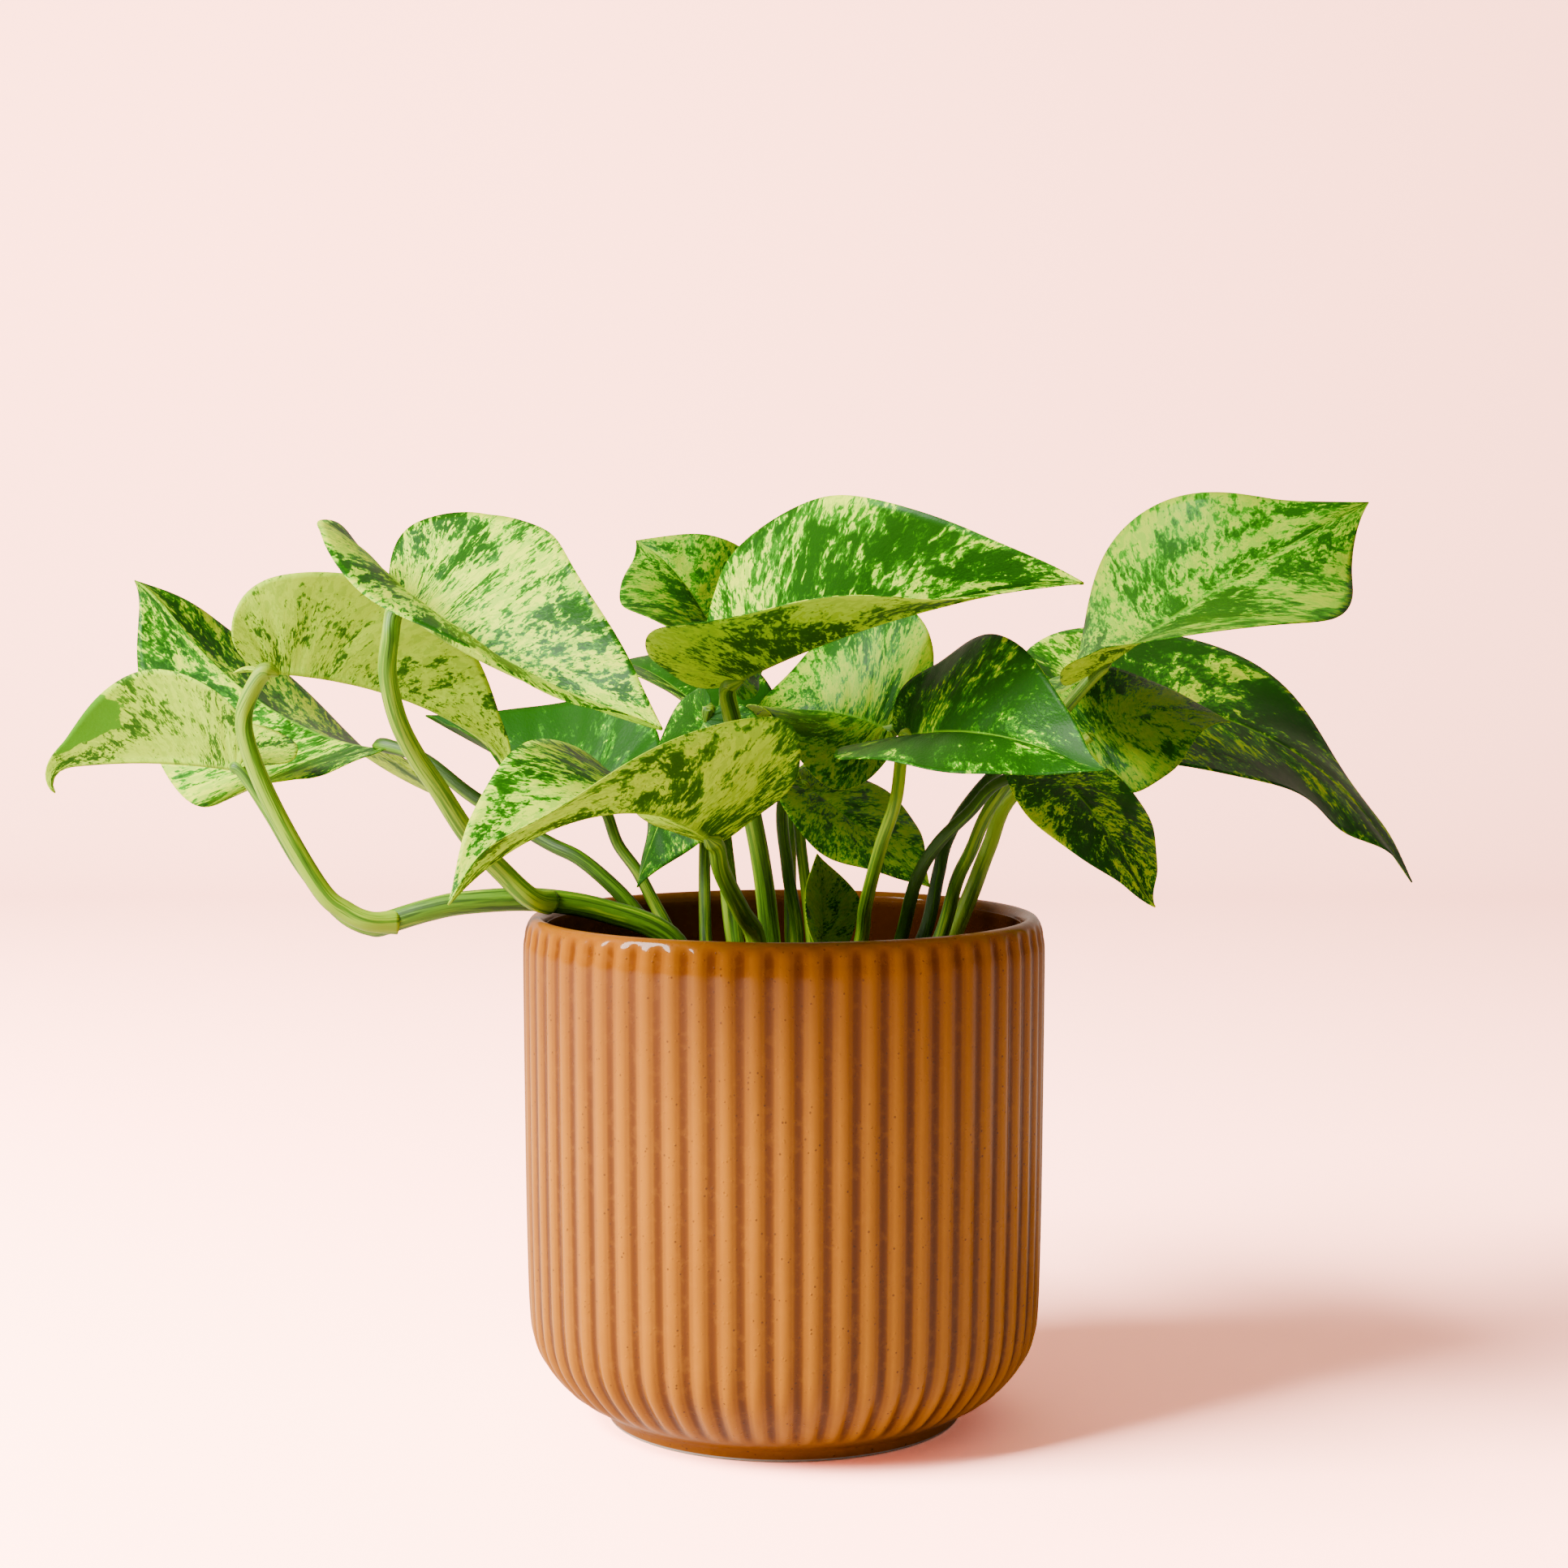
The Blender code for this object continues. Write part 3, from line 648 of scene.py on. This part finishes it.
# %% Where a stalk starts and how it enters its blade
# branches start inside the vine, at its two nodes
ROOTED_AT = {"stalk_left_arch": (-110, -16.5, 145.6), "stalk_far_left": (-112, -15.5, 144.6),
             "stalk_left_top": (-67, -13, 151.0)}


def stalk_points(node, spec):
    """The path's points, from inside the soil or the vine to the blade's midrib."""
    points = [tuple(p) for p in spec["path"]]
    if node in ROOTED_AT:
        points.insert(0, ROOTED_AT[node])
    if points[0][2] is None:
        x, y, _ = points[0]
        points[0:1] = [(x, y, SOIL_TOP - 6), (x, y, SOIL_TOP + 4)]
    if "leaf" in spec:
        blade = BLADES[spec["leaf"]]
        line, ahead, _, up = midrib_frame(blade, np.linspace(0, 1, 81))
        under = -1.0 if spec.get("above") else 1.0
        points.append(tuple(line[0] - under * 0.9 * up[0] - 0.6 * ahead[0]))
        points.append(tuple(line[4] - under * 0.55 * up[4]))
    return points


def stalk_radius(count, foot, end, joint):
    """Radius along the stalk: a taper, a flare at the foot and a swelling at the joint."""
    s = np.linspace(0, 1, count)
    radius = foot + (end - foot) * s**0.8
    radius = radius * (1 + 0.14 * np.exp(-(s / 0.06)**2))
    if joint:
        radius = radius * (1 + 0.16 * np.exp(-((s - 0.90) / 0.035)**2))
        radius = radius * (1 - 0.62 * np.clip((s - 0.93) / 0.07, 0, 1))
    return radius


# %% [markdown]
# Stalks are variegated as well: green with cream stripes that run the whole length.
# The pattern is a noise that is read round the stalk and squeezed almost to nothing
# along it. A second, finer one gives the skin its fibres.

# %% The stalk's finish
def stripes_group():
    """green where broad + 0.45 * thin > 0.92 - 0.42 * share, and dark well above that."""
    tree, given, result = group(
        "stripes", [("Seed", "F"), ("Green share", "F"), ("Pale", "C"), ("Green", "C"),
                    ("Dark", "C")], [("Color", "C"), ("Height", "F")])
    parts = put(tree, "ShaderNodeSeparateXYZ",
                {0: put(tree, "ShaderNodeUVMap", uv_map="round").outputs[0]})
    turn = maths(tree, "MULTIPLY", parts.outputs[0], 2 * math.pi)
    ring_x, ring_y = maths(tree, "COSINE", turn), maths(tree, "SINE", turn)

    def lines(fine, drawn, shift):
        where = put(tree, "ShaderNodeCombineXYZ",
                    {0: maths(tree, "MULTIPLY", ring_x, fine),
                     1: maths(tree, "MULTIPLY", ring_y, fine),
                     2: maths(tree, "ADD", maths(tree, "MULTIPLY", parts.outputs[1], drawn),
                              maths(tree, "ADD", given.outputs["Seed"], shift))}).outputs[0]
        return noise(tree, where, 1.0, 3.0, 0.6, 0.1)

    broad, thin = lines(1.5, 2.5, 0.0), lines(6.0, 5.0, 9.0)
    total = maths(tree, "ADD", broad, maths(tree, "MULTIPLY", thin, 0.45))
    level = maths(tree, "SUBTRACT", 0.92, maths(tree, "MULTIPLY",
                                                given.outputs["Green share"], 0.42))
    over = maths(tree, "SUBTRACT", total, level)
    colour = blend(tree, spread(tree, over, -0.05, 0.05), given.outputs["Pale"],
                   given.outputs["Green"])
    colour = blend(tree, spread(tree, over, 0.08, 0.22), colour, given.outputs["Dark"])
    tree.links.new(colour, result.inputs["Color"])
    tree.links.new(maths(tree, "ADD", thin, lines(14.0, 8.0, 17.0)), result.inputs["Height"])
    return tree


STRIPES = stripes_group()
PALE_STALK, GREEN_STALK = (0.30, 0.47, 0.008, 1), (0.10, 0.25, 0.004, 1)
DARK_STALK = (0.030, 0.085, 0.004, 1)


def stalk_skin(name, seed, share):
    """A stalk's face: stripes for colour and fibres for relief."""
    made, tree, body = shader(name, Specular_IOR_Level=0.25, Coat_Weight=0.08,
                              Coat_Roughness=0.3, Subsurface_Weight=0.1,
                              Subsurface_Scale=0.003, Roughness=0.42)
    marks = put(tree, "ShaderNodeGroup", node_tree=STRIPES)
    for title, value in (("Seed", seed), ("Green share", share),
                         ("Pale", PALE_STALK), ("Green", GREEN_STALK),
                         ("Dark", DARK_STALK)):
        marks.inputs[title].default_value = value
    tree.links.new(marks.outputs["Color"], body.inputs["Base Color"])
    bump = put(tree, "ShaderNodeBump", {"Strength": 0.4, "Distance": 0.0004,
                                        "Height": marks.outputs["Height"]})
    tree.links.new(bump.outputs[0], body.inputs["Normal"])
    return made


print("stripe nodes:", len(STRIPES.nodes))

# %% Grow every stalk
# how green a stalk is; the ones not named here are 0.6
STALK_GREEN = {"vine_left": 0.75, "stalk_left_high": 0.95, "stalk_right_low": 1.15,
               "stalk_right_droop": 1.1, "stalk_left_arch": 0.35, "stalk_left_top": 0.45,
               "stalk_right_mid": 0.25, "stalk_far_left": 0.6, "stalk_centre_right": 0.4}
for number, (node, spec) in enumerate(STALKS.items()):
    path = smooth_path(stalk_points(node, spec), 8)
    foot, end = spec["radius"]
    radius = stalk_radius(len(path), foot, end, "leaf" in spec)
    points, uv = tube(path, radius, 0.16 if "leaf" in spec else 0.05)
    rod = surface(node + "_rod", points, ring=True, caps=(True, True), layers={"round": uv},
                  flip=True)
    rod.data.materials.append(stalk_skin(node + "_skin", 2.3 * number,
                                         STALK_GREEN.get(node, 0.6)))
    settle(rod, node)
print("sections in the last stalk:", len(path))

# %% [markdown]
# ## The pot
#
# The pot is thrown and ribbed, then dipped in an amber glaze. Glaze runs off the ribs
# and pools between them, so ribs are lighter and grooves darker. A turned pot could be
# a Screw modifier on a profile, but the ribs make the radius change round it. So the
# radius is a function of height and angle: a profile plus a wave of sixty crests.

# %% The profile of the pot
pot_low, pot_high = (np.array(corner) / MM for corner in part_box("pot"))
POT_HEIGHT = pot_high[2]
POT_RADIUS = (pot_high[0] - pot_low[0]) / 2 - 0.45
FOOT_RADIUS = 50.7
INSIDE = POT_RADIUS - 6.2
FLUTES = 60
COLUMNS_PER_FLUTE = 8
# (radius, height) from the foot up the outside, over the lip and down inside
PROFILE = [(FOOT_RADIUS, 0), (FOOT_RADIUS + 0.6, 0.5), (FOOT_RADIUS + 1.6, 3.2), (53.6, 4.3),
           (56.5, 5.8), (60.0, 8.0), (63.8, 11.2), (67.8, 15.8), (71.0, 20.8), (72.8, 26),
           (73.6, 32), (74.0, 40), (74.5, 65), (POT_RADIUS - 0.2, 95), (POT_RADIUS, 125),
           (POT_RADIUS, 137), (POT_RADIUS - 0.4, 140.6), (POT_RADIUS - 0.8, 143.4),
           (73.2, 145.5), (71.4, POT_HEIGHT), (69.9, 145.4), (69.0, 143.4),
           (INSIDE, 138), (INSIDE - 0.3, 90), (INSIDE - 0.5, 40), (INSIDE - 3.5, 22),
           (58, 12), (46, 9), (20, 9)]
RIBS_FROM, RIBS_TO = 7.0, 144.8


def pot_points():
    """radius(h, angle) = profile(h) + relief(h) * cos(60 * angle), ring by ring.

    relief rises over the first few millimetres of the ribs with a square root, which
    makes their ends round, and is deeper on the lower curve than on the wall.
    """
    profile = smooth_path([(r, 0, h) for r, h in PROFILE], 5)
    radius, height = profile[:, 0], profile[:, 2]
    crest = np.argmax(height)
    outside = np.arange(len(height)) <= crest
    height = np.where(outside & (np.arange(len(height)) < 6), np.maximum(height, 0), height)
    start = np.sqrt(np.clip((height - RIBS_FROM) / 4.0, 0, 1))
    stop = np.sqrt(np.clip((RIBS_TO - height) / 3.0, 0, 1))
    depth = 0.42 + 0.38 * np.clip((34 - height) / 16, 0, 1)
    relief = np.where(outside, depth * start * stop, 0)
    columns = FLUTES * COLUMNS_PER_FLUTE
    angle = np.linspace(0, 2 * math.pi, columns, endpoint=False)
    rib = np.cos(FLUTES * angle)
    rib = np.sign(rib) * np.abs(rib)**0.85
    ring = radius[:, None] + relief[:, None] * rib[None, :]
    points = np.stack([ring * np.cos(angle), ring * np.sin(angle),
                       height[:, None] + 0 * ring], -1)
    share = np.where(depth > 0, relief / depth, 0)
    pooled = 0.5 + 0.5 * rib[None, :] * share[:, None]
    # how far a point lies inside the pot: the weight of the painted shade there
    inside = np.where(outside, 0.0, np.clip((POT_HEIGHT - 0.5 - height) / 4, 0, 1))
    uv = np.stack(np.broadcast_arrays(pooled, inside[:, None]), -1)
    return points, uv


points, uv = pot_points()
pot = surface("fluted_pot", points, ring=True, caps=(True, True), layers={"glaze": uv})
print("pot triangles:", 2 * points.shape[0] * points.shape[1])

# %% [markdown]
# The glaze reads two things that the shape already knows: how far out on a rib a
# point is, and whether it is inside the pot. Its colour breaks from honey on the ribs
# to brown in the grooves, with cloudy variation and iron specks. Inside the pot, shade
# is painted in as a dark brown. The foot's rim is left bare, so that the pot doesn't
# stick to the kiln's shelf.

# %% The glaze
AMBER, LIGHT_AMBER = (0.31, 0.094, 0.001, 1), (0.39, 0.125, 0.001, 1)
HONEY, POOLED = (0.50, 0.168, 0.001, 1), (0.11, 0.024, 0.001, 1)
RUN, DARKER_TOP_AMBER = (0.18, 0.042, 0.001, 1), (0.19, 0.044, 0.001, 1)
GLINT, IRON = (0.62, 0.22, 0.008, 1), (0.085, 0.030, 0.010, 1)
PAINTED_SHADE_INSIDE, PAINTED_SHADE_INSIDE_LIGHT = (0.060, 0.013, 0.002, 1), (0.12, 0.027, 0.003, 1)
BARE_CLAY = (0.66, 0.60, 0.52, 1)


def glaze_material():
    """Amber by cloud noise, honey on the ribs, brown where it pools, darker towards the top."""
    made, tree, body = shader("amber_glaze", Coat_Weight=0.42, Coat_Roughness=0.09,
                              Specular_IOR_Level=0.04)
    where = put(tree, "ShaderNodeTexCoord").outputs["Object"]
    marks = put(tree, "ShaderNodeSeparateXYZ",
                {0: put(tree, "ShaderNodeUVMap", uv_map="glaze").outputs[0]})
    rib, inside = marks.outputs[0], marks.outputs[1]
    cloud = noise(tree, where, 28.0, 4.0, 0.6, 0.4)
    mottle = noise(tree, where, 260.0, 4.0, 0.65, 0.2)
    streaky = put(tree, "ShaderNodeMapping", {0: where, "Scale": (1.0, 1.0, 0.16)})
    runs = noise(tree, streaky.outputs[0], 150.0, 3.0, 0.6)
    base = blend(tree, cloud, AMBER, LIGHT_AMBER)
    honey = blend(tree, spread(tree, rib, 0.45, 1.0), base, HONEY)
    pooled = maths(tree, "SUBTRACT", 1.0, spread(tree, rib, 0.0, 0.42))
    shade = maths(tree, "MULTIPLY", pooled, 0.90)
    colour = blend(tree, shade, honey, POOLED)
    colour = blend(tree, maths(tree, "MULTIPLY", spread(tree, runs, 0.45, 0.75), 0.16),
                   colour, RUN)
    colour = blend(tree, maths(tree, "MULTIPLY", spread(tree, mottle, 0.50, 0.66), 0.10),
                   colour, GLINT)
    specks = put(tree, "ShaderNodeTexVoronoi", {"Vector": where, "Scale": 520.0})
    dots = maths(tree, "SUBTRACT", 1.0, spread(tree, specks.outputs["Distance"], 0.10, 0.22))
    chosen = spread(tree, noise(tree, where, 380.0, 1.0), 0.52, 0.58)
    colour = blend(tree, maths(tree, "MULTIPLY", maths(tree, "MULTIPLY", dots, chosen), 0.7),
                   colour, IRON)
    # painted shade: inside the pot the glaze is darkened to a deep brown
    colour = blend(tree, inside, colour, blend(tree, cloud, PAINTED_SHADE_INSIDE, PAINTED_SHADE_INSIDE_LIGHT))
    height = put(tree, "ShaderNodeSeparateXYZ", {0: where}).outputs[2]
    # the glaze gets darker towards the top, from 80 mm up to the lip
    top_darkening = maths(tree, "MULTIPLY", spread(tree, height, 0.080, 0.142), 0.36)
    colour = blend(tree, top_darkening, colour, DARKER_TOP_AMBER)
    bare = maths(tree, "SUBTRACT", 1.0, spread(tree, height, 0.0007, 0.0011))
    colour = blend(tree, bare, colour, BARE_CLAY)
    tree.links.new(colour, body.inputs["Base Color"])
    rough = maths(tree, "ADD", 0.24, maths(tree, "ADD", maths(tree, "MULTIPLY", mottle, 0.14),
                                           maths(tree, "MULTIPLY", bare, 0.4)))
    tree.links.new(rough, body.inputs["Roughness"])
    ripple = maths(tree, "ADD", maths(tree, "MULTIPLY", runs, 0.6),
                   maths(tree, "ADD", maths(tree, "MULTIPLY", mottle, 0.35), dots))
    bump = put(tree, "ShaderNodeBump", {"Strength": 0.30, "Distance": 0.0005, "Height": ripple})
    tree.links.new(bump.outputs[0], body.inputs["Normal"])
    return made


pot.data.materials.append(glaze_material())
settle(pot, "pot")
print("glaze nodes:", len(pot.data.materials[0].node_tree.nodes))

# %% [markdown]
# ## The soil
#
# Potting mix is a lumpy crust with crumbs of bark and a little white perlite on it.
# A disc of rings carries the lumps as a sum of waves. The crumbs are small rounded
# grains, worked out all at once as one array and joined in one mesh.

# %% The crust
soil_low, soil_high = (np.array(corner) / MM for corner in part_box("soil"))
SOIL_RADIUS = (soil_high[0] - soil_low[0]) / 2


def crust_points(rings=70, columns=200):
    """height(r, a) = level + a sum of sines of x and y, dying out at the wall."""
    r = np.linspace(0.4, 1, rings)[:, None]
    r = (r - 0.4) / 0.6 * 0.985 + 0.015
    a = np.linspace(0, 2 * math.pi, columns, endpoint=False)[None, :]
    x, y = SOIL_RADIUS * r * np.cos(a), SOIL_RADIUS * r * np.sin(a)
    lumps = 0 * x
    chance = np.random.default_rng(5)
    for scale, size in ((0.10, 0.55), (0.23, 0.38), (0.55, 0.26), (1.1, 0.16)):
        for _ in range(5):
            turn, phase = chance.uniform(0, 2 * math.pi, 2)
            lumps = lumps + size * np.sin(scale * (x * math.cos(turn) + y * math.sin(turn))
                                          + phase)
    top = SOIL_TOP - 1.6 + lumps * 0.75 * (1 - r**8)
    crust = np.stack([x, y, top], -1)
    shift = 1 - np.linspace(0, 1, 5)[:, None, None] * np.array([0.02, 0.02, 0])
    skirt = crust[-1:] * shift
    skirt[..., 2] = np.linspace(SOIL_TOP - 2.2, SOIL_TOP - 25, 5)[:, None]
    return np.concatenate([crust, skirt[1:]], 0)


crust = surface("soil_crust", crust_points(), ring=True, caps=(True, True))


def crumbs(name, count, size, seed):
    """Grains: a small round ball made rough, scaled, turned and dropped at random."""
    chance = np.random.default_rng(seed)
    lat = np.linspace(0, math.pi, 6)[1:-1]
    lon = np.linspace(0, 2 * math.pi, 7, endpoint=False)
    ball = np.stack([np.sin(lat)[:, None] * np.cos(lon), np.sin(lat)[:, None] * np.sin(lon),
                     np.cos(lat)[:, None] + 0 * lon], -1)
    ball = np.vstack([ball.reshape(-1, 3), [[0, 0, 1], [0, 0, -1]]])
    faces = grid_faces(4, 7, True)
    fan = np.array([[28, j, (j + 1) % 7] for j in range(7)])
    base = np.array([[29, 21 + (j + 1) % 7, 21 + j] for j in range(7)])
    r = (SOIL_RADIUS - 4) * np.sqrt(chance.uniform(0, 1, count))
    a = chance.uniform(0, 2 * math.pi, count)
    centre = np.stack([r * np.cos(a), r * np.sin(a),
                       SOIL_TOP - 1.2 + chance.uniform(-0.6, 0.7, count)], -1)
    scale = size * chance.uniform(0.5, 1.4, (count, 3)) * np.array([1.0, 0.8, 0.55])
    spin = chance.uniform(0, 2 * math.pi, count)
    rough = 1 + 0.22 * chance.standard_normal((count, len(ball), 1))
    grains = ball[None] * rough * scale[:, None, :]
    cos, sin = np.cos(spin)[:, None], np.sin(spin)[:, None]
    turned = np.stack([grains[..., 0] * cos - grains[..., 1] * sin,
                       grains[..., 0] * sin + grains[..., 1] * cos, grains[..., 2]], -1)
    vertices = (turned + centre[:, None, :]).reshape(-1, 3)
    step = (np.arange(count) * len(ball))[:, None, None]
    quads = (faces[None, :, ::-1] + step).reshape(-1, 4).tolist()
    ends = (np.vstack([fan, base])[None] + step).reshape(-1, 3).tolist()
    mesh = bpy.data.meshes.new(name)
    mesh.from_pydata((vertices * MM).tolist(), [], quads + ends)
    thing = bpy.data.objects.new(name, mesh)
    bpy.context.scene.collection.objects.link(thing)
    return thing


bark = crumbs("soil_bark", 900, 1.5, 11)
perlite = crumbs("soil_perlite", 130, 1.1, 12)
print("grains:", 900 + 130)

# %% The soil's finish
def soil_material(name, dark, light, scale):
    """Dark to light by a coarse noise, with a finer one for relief."""
    made, tree, body = shader(name, Specular_IOR_Level=0.25)
    where = put(tree, "ShaderNodeTexCoord").outputs["Object"]
    coarse = noise(tree, where, scale, 5.0, 0.7, 0.3)
    colour = blend(tree, spread(tree, coarse, 0.35, 0.65), dark, light)
    tree.links.new(colour, body.inputs["Base Color"])
    tree.links.new(maths(tree, "ADD", 0.72, maths(tree, "MULTIPLY", coarse, 0.25)),
                   body.inputs["Roughness"])
    bump = put(tree, "ShaderNodeBump", {"Strength": 0.8, "Distance": 0.0008,
                                        "Height": noise(tree, where, scale * 4, 5.0, 0.75)})
    tree.links.new(bump.outputs[0], body.inputs["Normal"])
    return made


crust.data.materials.append(soil_material("earth", (0.012, 0.008, 0.005, 1),
                                          (0.055, 0.034, 0.020, 1), 350.0))
bark.data.materials.append(soil_material("bark", (0.020, 0.011, 0.006, 1),
                                         (0.105, 0.058, 0.028, 1), 240.0))
perlite.data.materials.append(soil_material("perlite", (0.55, 0.53, 0.48, 1),
                                            (0.80, 0.78, 0.74, 1), 500.0))
for piece in (crust, bark, perlite):
    settle(piece, "soil")
print("soil pieces:", 3)

# %% [markdown]
# ## Floor, light and camera
#
# A pale sheet of paper runs under the pot and up behind it in one sweep, so there is
# no horizon. It is lit more strongly than the plant, as a studio backdrop is: towards
# the camera its colour is brighter than what it sends back to the plant. One large soft
# light stands high on the left, and a weak one fills the shadows from the front right.

# %% The paper sweep
def sweep_points():
    """Floor, quarter circle and wall as one profile, carried straight sideways."""
    bend = np.linspace(0, math.pi / 2, 24)
    y = np.concatenate([[-3000], 1500 + 600 * np.sin(bend), [2100]])
    z = np.concatenate([[0], 600 - 600 * np.cos(bend), [4000]])
    x = np.array([-4000, 4000])
    return np.stack([x[None, :] + 0 * y[:, None], y[:, None] + 0 * x[None, :],
                     z[:, None] + 0 * x[None, :]], -1)


PAPER, LIT_PAPER = (0.74, 0.60, 0.52, 1), (5.3, 2.40, 1.95, 1)
paper = surface("paper_sweep", sweep_points())
made, tree, body = shader("paper", Roughness=0.9, Specular_IOR_Level=0.1)
seen = put(tree, "ShaderNodeLightPath").outputs["Is Camera Ray"]
tree.links.new(blend(tree, seen, PAPER, LIT_PAPER), body.inputs["Base Color"])
paper.data.materials.append(made)
print("paper quads:", len(paper.data.polygons))

# %% Lights
def soft_light(name, place, target, size, power, colour):
    """A square area light at place that faces target."""
    lamp = bpy.data.lights.new(name, "AREA")
    lamp.shape = "SQUARE"
    lamp.size = size
    lamp.energy = power
    lamp.color = colour
    thing = bpy.data.objects.new(name, lamp)
    aim = np.array(target) - np.array(place)
    thing.location = place
    from_z = math.atan2(math.hypot(aim[0], aim[1]), -aim[2])
    thing.rotation_euler = (from_z, 0, math.atan2(aim[0], -aim[1]) + math.pi)
    bpy.context.scene.collection.objects.link(thing)


soft_light("key", (-1.46, -0.66, 1.32), (0, 0, 0.15), 1.05, 152.0, (1.0, 0.97, 0.93))
soft_light("fill", (1.4, -1.4, 0.9), (0, 0, 0.15), 1.6, 0.6, (1.0, 0.95, 0.93))
world = bpy.data.worlds.new("room")
bpy.context.scene.world = world
world.use_nodes = True
world.node_tree.nodes["Background"].inputs[0].default_value = (1.0, 0.93, 0.90, 1)
world.node_tree.nodes["Background"].inputs[1].default_value = 0.16
print("lights:", len(bpy.data.lights))

# %% Camera
camera = bpy.data.objects.new("camera", bpy.data.cameras.new("camera"))
camera.data.sensor_width = 36
camera.data.lens = 63.6
camera.location = (0, -0.80, 0.232)
camera.rotation_euler = (math.pi / 2 - 0.0601, 0, 0)
bpy.context.scene.collection.objects.link(camera)
bpy.context.scene.camera = camera
print("camera at", tuple(camera.location))
